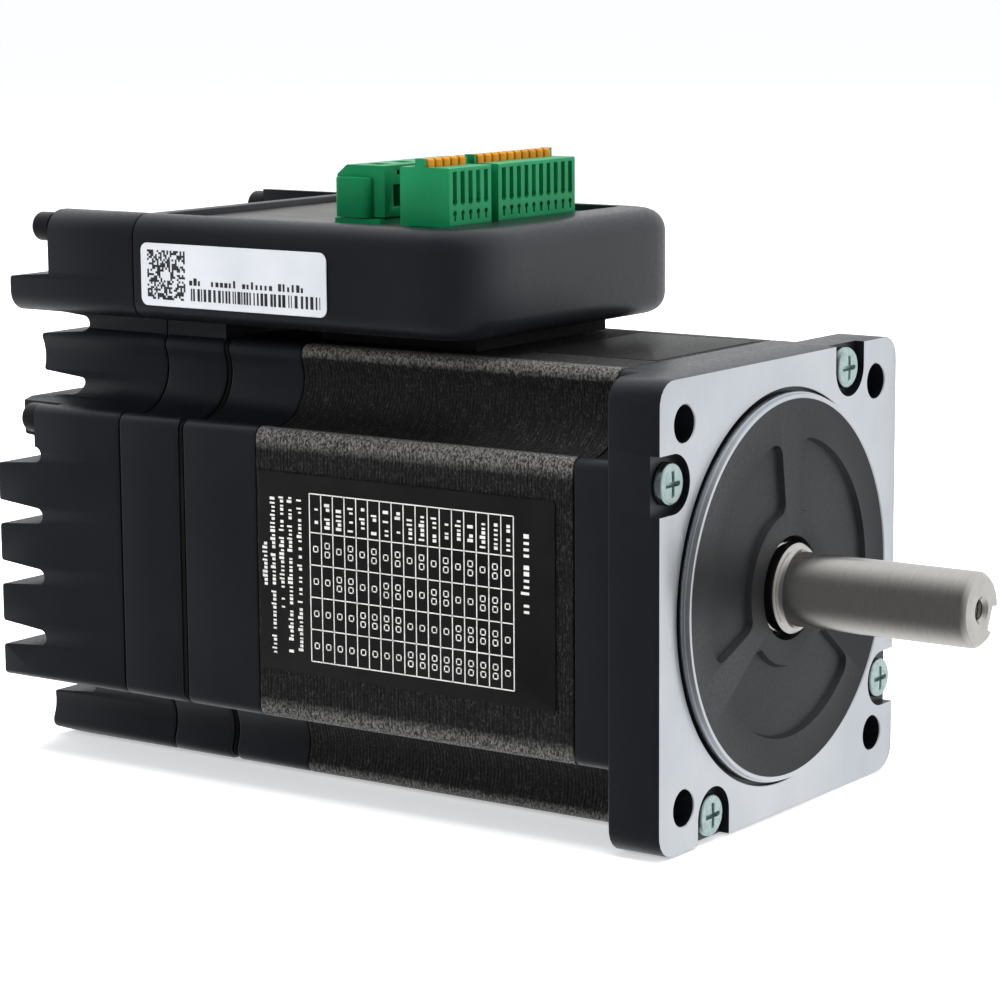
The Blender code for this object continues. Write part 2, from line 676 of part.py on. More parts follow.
def rear_cover():
    cover = extruded("rear_cover", body_section(BODY_HALF), FIN_TIP - EPS, COVER_FRONT)
    section = rounded_rectangle((-BOX_HALF, BOX_LOW), (BOX_HALF, BOX_TOP), [BOX_EDGE_R] * 4)
    box = extruded("cover_box", section, FIN_TIP - EPS, COVER_FRONT)
    fins = extruded("fin_shape", fin_profile(), -FLANGE_W, FLANGE_W, "Y")
    beyond = BODY_HALF + 5
    ends = []
    for fin, half in ((FINS_ABOVE, BOX_HALF), (FINS_ABOVE - 1, NECK_HALF),
                      (FINS_ABOVE - 2, SHOULDER_FIN_HALF)):
        middle = FIN_START + FIN_PITCH * fin
        low, high = middle - FIN_PITCH / 2, middle + FIN_PITCH / 2 - 0.01
        ends += [((FIN_TIP - EPS, side[0], low), (COVER_BACK, side[1], high))
                 for side in ((-beyond, -half), (half, beyond))]
    bore = rods("cover_bore", [(0, 0)], FRAME_BORE_R, COVER_BACK + COVER_BACK_WALL, COVER_FRONT + EPS,
                segments=ROUND)
    cavity = boxes("cover_cavity", [((COVER_BACK + COVER_BACK_WALL, -CAVITY_HALF + 1, CAVITY_LOW),
                                     (COVER_FRONT + EPS, CAVITY_HALF - 1, MOUTH_TOP))])
    top_cut = boxes("cover_top_cut", [((FIN_TIP - EPS, -TOP_CUT_HALF, BOX_TOP - TOP_CUT_DEPTH),
                                       (COVER_FRONT + EPS, TOP_CUT_HALF, BOX_TOP + 5))])
    lower, upper = cover_screw_places()
    holes = rods("cover_screw_holes", lower + upper, COVER_SCREW_R + GAP, COVER_BACK - EPS, COVER_FRONT + EPS,
                 segments=10)
    sunk = rods("cover_screw_sinks", [(y, z) for y, z in lower if z < 0], COVER_HEAD_R + 0.4, FIN_TIP - EPS,
                COVER_BACK, segments=16)
    join_to(cover, neck("cover_neck", FIN_TIP - EPS, COVER_FRONT), box)
    combine(cover, fins, "INTERSECT")
    cut(cover, boxes("fin_ends", ends), bore, cavity, top_cut, holes, sunk)
    return piece(cover, "black_cast")


def bearings(rotor):
    """Each bearing is a shielded outer ring in its seat and an inner ring on the shaft."""
    places = (("front", FRONT_BEARING_R, JOURNAL_R, FRONT_BEARING_BACK, FRONT_BEARING_FRONT),
              ("rear", REAR_BEARING_R, REAR_JOURNAL_R, REAR_BEARING_BACK, REAR_BEARING_FRONT))
    for end, outer, journal, back, front in places:
        race = outer - RACE_T
        lip = journal + GAP + RACE_T + GAP
        profile = [(lip, front), (outer, front), (outer, back), (lip, back), (lip, back + SHIELD_T),
                   (race, back + SHIELD_T), (race, front - SHIELD_T), (lip, front - SHIELD_T)]
        piece(turned(end + "_bearing_outer", profile, 40), "bearing_steel")
        inner = ring(end + "_bearing_inner", journal + GAP, lip - GAP, back, front, 32)
        piece(inner, "bearing_steel", rotor)
    washer = ring("wave_washer", REAR_BEARING_R - RACE_T, REAR_BEARING_R - 0.2, WASHER_BACK,
                  WASHER_BACK + WASHER_T, 32)
    piece(washer, "bearing_steel")


def shaft(rotor):
    step = FRONT_BEARING_BACK - 1.5
    rear_step = REAR_BEARING_FRONT + 0.5
    profile = [(0, SHAFT_OUT), (SHAFT_R - SHAFT_CHAMFER, SHAFT_OUT), (SHAFT_R, SHAFT_OUT - SHAFT_CHAMFER),
               (SHAFT_R, JOURNAL_OUT), (JOURNAL_R - 0.4, JOURNAL_OUT), (JOURNAL_R, JOURNAL_OUT - 0.4),
               (JOURNAL_R, step), (ROTOR_SEAT_R, step), (ROTOR_SEAT_R, rear_step),
               (REAR_JOURNAL_R, rear_step),
               (REAR_JOURNAL_R, REAR_WALL_FRONT - 1), (TAIL_R, REAR_WALL_FRONT - 1), (TAIL_R, TAIL_BACK),
               (0, TAIL_BACK)]
    bar = turned("shaft", profile, 40)
    key = boxes("key_slot", [((SHAFT_OUT - KEY_LEN, SHAFT_R - KEY_DEPTH, -KEY_W / 2),
                              (SHAFT_OUT + EPS, SHAFT_R + EPS, KEY_W / 2))])
    key.data.transform(Matrix.Rotation(math.radians(KEY_ANGLE), 4, "X"))
    tap = rods("shaft_tap", [(0, 0)], TAP_R, SHAFT_OUT - TAP_DEPTH, SHAFT_OUT + EPS, segments=12)
    piece(cut(bar, key, tap), "shaft_steel", rotor)


def rotor_pieces(rotor):
    bore = ROTOR_SEAT_R + GAP
    half_magnet = MAGNET_T / 2
    front_core = ring("rotor_core_front", bore, ROTOR_R, ROTOR_MID + half_magnet + GAP, ROTOR_FRONT)
    piece(front_core, "core_steel", rotor)
    piece(ring("rotor_magnet", bore, ROTOR_R - 2, ROTOR_MID - half_magnet, ROTOR_MID + half_magnet, 32),
          "magnet_grey", rotor)
    rear_core = ring("rotor_core_rear", bore, ROTOR_R, ROTOR_BACK, ROTOR_MID - half_magnet - GAP)
    piece(rear_core, "core_steel", rotor)
    tail = TAIL_R + GAP
    hub = [(tail, DISC_BACK + 5), (TAIL_R + 3, DISC_BACK + 5), (TAIL_R + 3, DISC_BACK + DISC_T),
           (DISC_R, DISC_BACK + DISC_T), (DISC_R, DISC_BACK), (tail, DISC_BACK)]
    piece(turned("encoder_disc", hub, 32), "magnet_grey", rotor)


def encoder():
    front, back = ENCODER_BOARD_FRONT, ENCODER_BOARD_BACK
    board = rods("encoder_board", [(0, 0)], ENCODER_BOARD_R, back, front, segments=32)
    posts = [(0, POST_C), (0, -POST_C)]
    holes = rods("encoder_board_holes", posts, SMALL_SCREW_R + GAP, back - EPS, front + EPS, segments=10)
    piece(cut(board, holes), "board_green")
    reader_front = DISC_BACK - 1.0
    reader = [((ENCODER_BOARD_FRONT + GAP, DISC_R - 7, -4), (reader_front, DISC_R + 1, 4))]
    piece(boxes("encoder_reader", reader), "seal_black")
    for number, (y, z) in enumerate(posts, 1):
        head_front = ENCODER_BOARD_BACK - GAP
        name = "encoder_screw_%d" % number
        head = rods(name, [(y, z)], SMALL_HEAD_R, head_front - SMALL_HEAD_H, head_front)
        shank = rods(name + "_shank", [(y, z)], SMALL_SCREW_R, head_front - EPS, POST_BACK + 7, segments=10)
        piece(join_to(head, shank), "zinc_screw")


def clamp_screws():
    """Long screws from the flange through the stack; each cross recess is two crossed slots."""
    top = -NOTCH_DEPTH + GAP + SCREW_HEAD_H
    for number, (y, z) in enumerate(screw_centres(), 1):
        head = rods("flange_screw_%d" % number, [(y, z)], SCREW_HEAD_R, top - SCREW_HEAD_H, top, segments=24)
        bevel(head, 0.5, 2)
        shank = rods("flange_screw_shank_%d" % number, [(y, z)], SCREW_R, REAR_BELL_FRONT - SCREW_REACH + 1,
                     top - SCREW_HEAD_H + EPS, segments=12)
        slots = [((top - RECESS_DEPTH, y - 2.2, z - 0.45), (top + EPS, y + 2.2, z + 0.45)),
                 ((top - RECESS_DEPTH + 0.1, y - 0.45, z - 2.2), (top + EPS, y + 0.45, z + 2.2))]
        first = boxes("cross_slot_%d" % number, slots[:1])
        second = boxes("cross_slot_upright_%d" % number, slots[1:])
        join_to(head, shank)
        piece(cut(head, first, second), "zinc_screw")


def cover_screws():
    lower, upper = cover_screw_places()
    for number, (y, z) in enumerate(lower + upper, 1):
        head_front = COVER_BACK - GAP
        bite = COVER_SCREW_BITE if z < BODY_HALF else REAR_RAIL - 1.2
        head = rods("cover_screw_%d" % number, [(y, z)], COVER_HEAD_R, head_front - COVER_HEAD_H, head_front)
        bevel(head, 1.0, 2)
        shank = rods("cover_screw_shank_%d" % number, [(y, z)], COVER_SCREW_R, head_front - EPS,
                     FRAME_BACK + bite, segments=10)
        piece(join_to(head, shank), "black_screw")


def power_places():
    first = -POWER_PITCH * (POWER_POLES - 1) / 2
    return [(POWER_FRONT + POWER_BACK) / 2], [first + POWER_PITCH * pole for pole in range(POWER_POLES)]


def plug_spans():
    """Name, number of ways and the Y span of each signal plug."""
    spans = []
    start = PLUG_ROW_START
    for ways in (5, 10):
        end = start + PITCH * ways + 2 * PLUG_END
        spans.append((ways, start, end))
        start = end + PLUG_SPLIT
    return spans


def squares(centres_x, centres_y, width, low, high):
    half = width / 2
    return [((x - half, y - half, low), (x + half, y + half, high)) for x in centres_x for y in centres_y]


def way_places(ways, start):
    return [start + PLUG_END + PITCH * (way + 0.5) for way in range(ways)]


def pin_line():
    return PLUG_FRONT - LEVER_FRONT / 2 - 0.2


def headers():
    inner_front = DECK_FRONT - DECK_LEDGE - GAP
    for ways, start, end in plug_spans():
        block = boxes("signal_header_%d" % ways, [((PLUG_BACK + GAP, start + GAP, BOARD_TOP + GAP),
                                                   (inner_front, end - GAP, PLUG_LOW - GAP))])
        pins = boxes("signal_pins_%d" % ways, squares([pin_line()], way_places(ways, start), PIN_W,
                     PLUG_LOW - EPS, PLUG_LOW + PIN_UP))
        piece(join_to(block, pins), "terminal_green")
    half = POWER_LEN / 2 - 0.5
    block = boxes("power_header", [((POWER_BACK + GAP, -half, BOARD_TOP + GAP),
                                    (POWER_FRONT - GAP, half, PLUG_LOW))])
    middle, poles = power_places()
    pins = boxes("power_pins", squares(middle, poles, POWER_PIN_W, PLUG_LOW - EPS, PLUG_LOW + PIN_UP))
    piece(join_to(block, pins), "terminal_green")


def signal_plug(ways, start, end):
    name = "signal_plug_%d" % ways
    seat = new_empty("%s_seat" % name, ((PLUG_FRONT + PLUG_BACK) / 2, (start + end) / 2, PLUG_LOW), DATUM)
    channel_front = PLUG_FRONT - LEVER_FRONT
    channel_back = channel_front - LEVER_X - 2 * GAP
    centres = way_places(ways, start)
    body = boxes(name, [((PLUG_BACK, start, PLUG_LOW), (PLUG_FRONT, end, PLUG_TOP))])
    tabs = boxes(name + "_tabs", [((channel_back + 2.0, low, PLUG_TOP - EPS),
                                   (channel_front - 0.6, high, LEVER_HIGH))
                                  for low, high in ((start, start + PLUG_END), (end - PLUG_END, end))])
    floor = LEVER_HIGH - LEVER_H - LEVER_TRAVEL - GAP
    channel = boxes(name + "_channel", [((channel_back, start + PLUG_END, floor),
                                         (channel_front, end - PLUG_END, LEVER_HIGH + EPS))])
    half = WIRE_GROOVE_W / 2
    grooves = [((PLUG_FRONT - WIRE_GROOVE_DEPTH, y - half, PLUG_LOW + WIRE_GROOVE_LOW),
                (PLUG_FRONT + EPS, y + half, PLUG_TOP - WIRE_GROOVE_TOP)) for y in centres]
    tests = [((PLUG_FRONT - 1.2, y - TEST_HOLE / 2, PLUG_LOW + TEST_HOLE_UP),
              (PLUG_FRONT + EPS, y + TEST_HOLE / 2, PLUG_LOW + TEST_HOLE_UP + TEST_HOLE)) for y in centres]
    sockets = squares([pin_line()], centres, SOCKET_W, PLUG_LOW - EPS, PLUG_LOW + PIN_UP + 0.6)
    join_to(body, tabs)
    cut(body, channel, boxes(name + "_openings", grooves + tests), boxes(name + "_sockets", sockets))
    piece(body, "terminal_green", seat)
    levers(ways, centres, channel_front, seat)


def levers(ways, centres, channel_front, seat):
    """The release levers of one plug: one mesh, placed at each way."""
    half = Vector((LEVER_X / 2, (PITCH - LEVER_GAP) / 2, LEVER_H / 2)) * MM
    bm = bmesh.new()
    bmesh.ops.create_cube(bm, size=2.0, matrix=Matrix.Diagonal((*half, 1.0)))
    mesh = mesh_from(bm, "lever_%d_ways" % ways)
    for number, y in enumerate(centres, 1):
        lever = add_object("lever_%d_%d" % (ways, number), mesh)
        place = Vector((channel_front - GAP - LEVER_X / 2, y, LEVER_HIGH - LEVER_H / 2)) * MM
        lever.location = place
        piece(lever, "lever_orange", seat)


def power_plug():
    middle, poles = power_places()
    low, high = PLUG_LOW + GAP, PLUG_LOW + GAP + POWER_H
    seat = new_empty("power_plug_seat", (middle[0], 0.0, low), DATUM)
    half = POWER_LEN / 2
    inside = half - POWER_END
    body = boxes("power_plug", [((POWER_BACK, -inside, low), (POWER_FRONT, inside, high))])
    back = POWER_BACK + 0.3
    ends = []
    for near, far, radii in ((-half, -inside + EPS, [1.5, 1.5, 0.2, 0.2]),
                             (inside - EPS, half, [0.2, 0.2, 1.5, 1.5])):
        plan = rounded_rectangle((back, near), (back + POWER_END_X, far), radii)
        ends.append(extruded("power_end", plan, low - 0.1, low + POWER_END_H, "Z"))
    blocks = joined("power_plug_ends", ends)
    deep = PLUG_LOW + PIN_UP + 0.6
    sockets = boxes("power_sockets", squares(middle, poles, POWER_PIN_W + 0.8, low - EPS, deep))
    wires = [((POWER_FRONT - 3.0, y - 2.0, low + 2.0), (POWER_FRONT + EPS, y + 2.0, low + 6.0))
             for y in poles]
    join_to(body, blocks)
    piece(cut(body, sockets, boxes("power_wire_holes", wires)), "terminal_green", seat)


def deck():
    outline = rounded_rectangle((DECK_BACK + GAP, -DECK_HALF + GAP), (DECK_FRONT - GAP, DECK_HALF - GAP),
                                [1.7] * 4)
    plate = extruded("deck_plate", outline, DECK_TOP - DECK_T, DECK_TOP, "Z")
    low, high = DECK_TOP - DECK_T - EPS, DECK_TOP + EPS
    holes = [((PLUG_BACK, start, low), (PLUG_FRONT, end, high)) for _, start, end in plug_spans()]
    half = POWER_LEN / 2
    holes.append(((POWER_BACK, -half, low), (POWER_FRONT, half, high)))
    piece(cut(plate, boxes("deck_holes", holes)), "deck_grey")


def electronics():
    front = BOX_FRONT - BOX_WALL - BOARD_MARGIN
    back = CAVITY_BACK + BOARD_MARGIN / 2
    half = CAVITY_HALF - BOARD_MARGIN
    corner = BOX_CORNER_R - BOX_WALL - BOARD_MARGIN
    outline = rounded_rectangle((back, -half), (front, half), [0.5, corner, corner, 0.5])
    piece(extruded("driver_board", outline, BOARD_LOW, BOARD_TOP, "Z"), "board_green")
    pad = [((back + 8, -half + 6, CAVITY_LOW + GAP), (front - 8, half - 6, BOARD_LOW - GAP))]
    piece(boxes("thermal_pad", pad), "pad_grey")
    for number, side in enumerate((-1, 1), 1):
        can = rods("capacitor_%d" % number, [(side * CAP_SPREAD, BOARD_TOP + GAP + CAP_R)], CAP_R, back + 1,
                   back + 1 + CAP_LEN, segments=24)
        piece(bevel(can, 0.5), "can_blue")
    stop = STACK_BACK + GAP
    pad = [((stop, -PAD_HALF, BODY_HALF + GAP), (DECK_FRONT + 2, PAD_HALF, BOX_LOW - GAP))]
    piece(boxes("support_pad", pad), "seal_black")


def labels():
    serial_back = FRAME_BACK + SERIAL_BACK
    serial_low = BOX_LOW + SERIAL_UP
    serial = rounded_rectangle((serial_back, serial_low), (serial_back + SERIAL_W, serial_low + SERIAL_H),
                               [1.6] * 4)
    out = BOX_HALF + LABEL_OFF
    piece(extruded("serial_label", serial, -out - LABEL_T, -out, "Y"), "label_silver")
    table_back = STACK_BACK + TABLE_BACK
    table = [((table_back, -BODY_HALF - LABEL_OFF - LABEL_T, TABLE_MID - TABLE_H / 2),
              (table_back + TABLE_W, -BODY_HALF - LABEL_OFF, TABLE_MID + TABLE_H / 2))]
    piece(boxes("table_label", table), "label_black")


def build():
    rotor = new_empty("rotor_axis", (0.0, 0.0, 0.0), DATUM)
    front_bell()
    stator()
    rear_bell()
    driver_housing()
    rear_cover()
    bearings(rotor)
    shaft(rotor)
    rotor_pieces(rotor)
    encoder()
    clamp_screws()
    cover_screws()
    deck()
    electronics()
    headers()
    for ways, start, end in plug_spans():
        signal_plug(ways, start, end)
    power_plug()
    labels()


clear_scene()
PARTS = new_collection("stepper_motor")
CUTTERS = new_collection("cutters")
MATERIALS = {name: make_material(name) for name in FINISHES}
DATUM = new_empty("motor_datum", (-(SHAFT_OUT + FIN_TIP) / 2, 0.0, FLANGE_HALF))
build()
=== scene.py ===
import json
import math

import bmesh
import bpy
import numpy as np
from mathutils import Matrix, Vector


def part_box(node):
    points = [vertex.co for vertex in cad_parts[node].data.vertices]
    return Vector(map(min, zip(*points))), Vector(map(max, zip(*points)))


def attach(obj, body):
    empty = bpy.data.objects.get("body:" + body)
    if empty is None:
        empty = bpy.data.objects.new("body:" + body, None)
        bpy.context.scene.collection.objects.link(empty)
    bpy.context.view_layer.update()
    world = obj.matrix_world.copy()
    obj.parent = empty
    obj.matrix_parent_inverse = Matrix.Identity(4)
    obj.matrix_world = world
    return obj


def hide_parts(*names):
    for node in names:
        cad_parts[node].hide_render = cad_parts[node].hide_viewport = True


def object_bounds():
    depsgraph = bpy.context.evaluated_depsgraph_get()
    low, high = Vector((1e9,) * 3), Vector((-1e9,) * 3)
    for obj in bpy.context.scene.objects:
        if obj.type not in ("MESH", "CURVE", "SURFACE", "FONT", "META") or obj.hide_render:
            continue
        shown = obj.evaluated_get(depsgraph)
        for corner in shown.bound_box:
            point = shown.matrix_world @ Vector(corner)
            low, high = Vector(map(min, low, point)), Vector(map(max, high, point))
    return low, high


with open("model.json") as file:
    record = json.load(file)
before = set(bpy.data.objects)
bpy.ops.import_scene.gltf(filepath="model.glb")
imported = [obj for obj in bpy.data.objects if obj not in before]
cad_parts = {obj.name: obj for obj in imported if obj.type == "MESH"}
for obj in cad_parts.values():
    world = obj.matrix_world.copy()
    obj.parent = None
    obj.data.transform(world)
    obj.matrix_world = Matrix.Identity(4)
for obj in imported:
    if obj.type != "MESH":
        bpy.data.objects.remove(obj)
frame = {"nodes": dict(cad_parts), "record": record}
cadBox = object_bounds()
nodes = frame["nodes"]
print("frame loaded:", len(nodes), "nodes")

# Pieces are worked out in millimetres from the motor's own datum: x is 0 on the flange's front
# face and grows out of the shaft, z is 0 on the shaft axis.
mm = 0.001
motor = {"pilotHeight": 2.0, "body": "motor_body"}
shaftLow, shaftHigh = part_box("shaft")
datum = np.array([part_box("front_bell")[1].x - motor["pilotHeight"] * mm, 0.0, (shaftLow.z + shaftHigh.z) / 2])


def span(node):
    # lowest and highest corner of a CAD node, in motor millimetres
    low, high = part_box(node)
    return (np.array(low) - datum) / mm, (np.array(high) - datum) / mm


def solid(name, points, faces):
    # puts points and faces into a mesh, closes its seams and turns its faces outwards
    mesh = bpy.data.meshes.new(name)
    mesh.from_pydata((np.asarray(points, float) * mm + datum).tolist(), [], faces)
    bm = bmesh.new()
    bm.from_mesh(mesh)
    bmesh.ops.remove_doubles(bm, verts=bm.verts, dist=1e-6)
    bmesh.ops.recalc_face_normals(bm, faces=bm.faces)
    bm.to_mesh(mesh)
    bm.free()
    made = bpy.data.objects.new(name, mesh)
    bpy.context.scene.collection.objects.link(made)
    return made


def gridFaces(rows, columns, wrap, start=0):
    # quads between neighbouring rows; wrap joins the last column to the first
    row = np.arange(rows - 1)[:, None] * columns
    column = np.arange(columns if wrap else columns - 1)[None, :]
    beside = (column + 1) % columns
    quads = np.stack([row + column, row + beside, row + columns + beside, row + columns + column], -1)
    return (quads.reshape(-1, 4) + start).tolist()


def skin(name, rings, closed=False, capFirst=True, capLast=True):
    # a surface through closed rings of equal length; closed joins the last ring to the first
    rings = np.array(rings)
    if closed:
        rings = np.concatenate([rings, rings[:1]])
    count, around = rings.shape[:2]
    faces = gridFaces(count, around, True)
    if not closed and capFirst:
        faces.append(list(range(around)))
    if not closed and capLast:
        faces.append(list(range((count - 1) * around, count * around)))
    return solid(name, rings.reshape(-1, 3), faces)


def blocks(name, lows, highs):
    # boxes in one mesh, from their lowest and highest corners
    lows, highs = np.atleast_2d(lows), np.atleast_2d(highs)
    pick = np.array([[0, 0, 0], [1, 0, 0], [1, 1, 0], [0, 1, 0], [0, 0, 1], [1, 0, 1], [1, 1, 1], [0, 1, 1]])
    corners = lows[:, None, :] + (highs - lows)[:, None, :] * pick[None]
    sides = np.array([[0, 3, 2, 1], [4, 5, 6, 7], [0, 1, 5, 4], [1, 2, 6, 5], [2, 3, 7, 6], [3, 0, 4, 7]])
    faces = (np.arange(len(lows))[:, None, None] * 8 + sides[None]).reshape(-1, 4)
    return solid(name, corners.reshape(-1, 3), faces.tolist())


def ringAt(x, outline):
    # a flat outline of (y, z) points stood at x
    return np.column_stack([np.full(len(outline), x), outline])


def prism(name, outline, low, high, axis=0):
    # a flat outline carried along one axis
    rings = []
    for place in (low, high):
        ring = np.insert(outline, axis, place, axis=1)
        rings.append(ring)
    return skin(name, rings)


def turned(name, profile, steps=128, centre=(0.0, 0.0)):
    # (radius, x) points carried round a line along x
    profile = np.array(profile, float)
    angle = np.linspace(0, 2 * np.pi, steps, endpoint=False) + 0.011
    across = centre[0] + profile[:, :1] * np.cos(angle)
    up = centre[1] + profile[:, :1] * np.sin(angle)
    along = np.repeat(profile[:, 1:], steps, axis=1)
    ends = profile[0, 0] > 0 and profile[-1, 0] > 0
    return skin(name, np.stack([along, across, up], -1), closed=ends, capFirst=False, capLast=False)


def arcPoints(centre, radius, start, end, steps, last=False):
    # points on an arc, angles in degrees
    turn = np.radians(np.linspace(start, end, steps, endpoint=last))
    return np.column_stack([centre[0] + radius * np.cos(turn), centre[1] + radius * np.sin(turn)])


def roundedPlan(low, high, radii, side=10, corner=8):
    # a rectangle whose corners are arcs; every call has the same number of points, so plans can be joined
    (a0, b0), (a1, b1) = low, high
    corners = [(a0 + radii[0], b0 + radii[0], 180), (a1 - radii[1], b0 + radii[1], 270),
               (a1 - radii[2], b1 - radii[2], 0), (a0 + radii[3], b1 - radii[3], 90)]
    arcs = [arcPoints((a, b), radius, start, start + 90, corner, last=True)
            for (a, b, start), radius in zip(corners, radii)]
    parts = []
    for arc, following in zip(arcs, arcs[1:] + arcs[:1]):
        share = np.linspace(0, 1, side + 1, endpoint=False)[1:, None]
        parts += [arc, arc[-1] + (following[0] - arc[-1]) * share]
    return np.concatenate(parts)


def bake(made):
    # the mesh as its modifiers leave it
    evaluated = made.evaluated_get(bpy.context.evaluated_depsgraph_get())
    mesh = bpy.data.meshes.new_from_object(evaluated)
    made.modifiers.clear()
    made.data = mesh
    return made


def carve(made, *tools, operation="DIFFERENCE"):
    # Boolean with each tool in turn; the tools are removed afterwards
    for tool in tools:
        boolean = made.modifiers.new("carve", "BOOLEAN")
        boolean.operation = operation
        boolean.object = tool
        boolean.solver = "MANIFOLD"
    bake(made)
    for tool in tools:
        bpy.data.objects.remove(tool, do_unlink=True)
    return made


def softenEdges(made, width, segments=2, angle=32):
    # rounds every edge that is sharper than the angle
    rounding = made.modifiers.new("edges", "BEVEL")
    rounding.width = width * mm
    rounding.segments = segments
    rounding.limit_method = "ANGLE"
    rounding.angle_limit = math.radians(angle)
    rounding.harden_normals = False
    return bake(made)


def finishPiece(made, materials, replaced=(), body=motor["body"], sharp=32):
    # materials, shading, and what the piece stands for
    made.data.materials.clear()
    for material in materials:
        made.data.materials.append(material)
    made.data.shade_smooth()
    made.data.set_sharp_from_angle(angle=math.radians(sharp))
    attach(made, body)
    for node in replaced:
        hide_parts(node)
    return made


def newMaterial(name, roughness, metallic=0.0, gloss=0.5):
    # numbers that are the same all over sit on the shader's own sockets
    material = bpy.data.materials.new(name)
    material.use_nodes = True
    shader = material.node_tree.nodes["Principled BSDF"]
    shader.inputs["Metallic"].default_value = metallic
    shader.inputs["Roughness"].default_value = roughness
    shader.inputs["Specular IOR Level"].default_value = gloss
    return material, material.node_tree, shader


def noiseOn(tree, scale, stretch=(1, 1, 1), detail=3.0):
    # noise on the piece's own coordinates; stretch above 1 crowds the grain along that axis
    coordinates = tree.nodes.new("ShaderNodeTexCoord")
    mapping = tree.nodes.new("ShaderNodeMapping")
    mapping.inputs["Scale"].default_value = stretch
    noise = tree.nodes.new("ShaderNodeTexNoise")
    noise.inputs["Scale"].default_value = scale
    noise.inputs["Detail"].default_value = detail
    noise.inputs["Roughness"].default_value = 0.55
    tree.links.new(coordinates.outputs["Object"], mapping.inputs["Vector"])
    tree.links.new(mapping.outputs["Vector"], noise.inputs["Vector"])
    return noise.outputs["Fac"]


def ranged(tree, value, fromLow, fromHigh, toLow, toHigh):
    # the value moved from one range into another and held inside it
    step = tree.nodes.new("ShaderNodeMapRange")
    sockets = ("From Min", "From Max", "To Min", "To Max")
    for socket, number in zip(sockets, (fromLow, fromHigh, toLow, toHigh)):
        step.inputs[socket].default_value = number
    tree.links.new(value, step.inputs["Value"])
    return step.outputs["Result"]


def blendColours(tree, factor, first, second):
    # first where the factor is 0, second where it is 1; each is a colour or a node's output
    mix = tree.nodes.new("ShaderNodeMix")
    mix.data_type = "RGBA"
    for socket, colour in ((6, first), (7, second)):
        if isinstance(colour, tuple):
            mix.inputs[socket].default_value = (*colour, 1.0)
        else:
            tree.links.new(colour, mix.inputs[socket])
    tree.links.new(factor, mix.inputs[0])
    return mix.outputs[2]


def bumpFrom(tree, shader, height, distance):
    # stands the surface off by distance, in metres, where the height is 1
    bump = tree.nodes.new("ShaderNodeBump")
    bump.inputs["Strength"].default_value = 1.0
    bump.inputs["Distance"].default_value = distance
    tree.links.new(height, bump.inputs["Height"])
    tree.links.new(bump.outputs["Normal"], shader.inputs["Normal"])


def mathOn(tree, operation, first, second=None):
    # one sum on one or two values, each a number or a node's output
    step = tree.nodes.new("ShaderNodeMath")
    step.operation = operation
    for socket, value in enumerate((first, second)):
        if value is None:
            continue
        if isinstance(value, (int, float)):
            step.inputs[socket].default_value = value
        else:
            tree.links.new(value, step.inputs[socket])
    return step.outputs[0]


def shareOf(tree, value, low=0.3, high=0.7):
    # 0 at or below low, 1 at or above high, a straight line between; most noise lies from 0.3 to 0.7
    return ranged(tree, value, low, high, 0.0, 1.0)


def tint(tree, shader, share, dark, light):
    # the base colour: dark where the share is 0, light where it is 1
    tree.links.new(blendColours(tree, share, dark, light), shader.inputs["Base Color"])


def roughen(tree, shader, value, smooth, rough, low=0.3, high=0.7):
    # the roughness: smooth at or below low, rough at or above high
    tree.links.new(ranged(tree, value, low, high, smooth, rough), shader.inputs["Roughness"])


def grainedMaterial(name, dark, light, roughness, metallic, grain, grainDepth, patch, gloss):
    # broad patches shift the colour, fine grain shifts the gloss and the surface
    material, tree, shader = newMaterial(name, roughness, metallic, gloss)
    fine = noiseOn(tree, grain, detail=4.0)
    tint(tree, shader, shareOf(tree, noiseOn(tree, patch)), dark, light)
    roughen(tree, shader, fine, roughness - 0.07, roughness + 0.08)
    bumpFrom(tree, shader, fine, grainDepth * mm)
    return material


def paintedCasting():
    # satin blue-black paint over a die casting: fine orange peel and faint rubbed spots
    material, tree, shader = newMaterial("paintedCasting", 0.36, 0.0, 0.55)
    peel = noiseOn(tree, 1400, detail=3.0)
    specks = ranged(tree, noiseOn(tree, 700, detail=2.0), 0.72, 0.8, 0.0, 0.35)
    patches = shareOf(tree, noiseOn(tree, 45))
    base = blendColours(tree, patches, (0.004, 0.0048, 0.0075), (0.006, 0.007, 0.0105))
    tint(tree, shader, specks, base, (0.02, 0.022, 0.027))
    roughen(tree, shader, peel, 0.3, 0.43)
    bumpFrom(tree, shader, peel, 0.012 * mm)
    return material


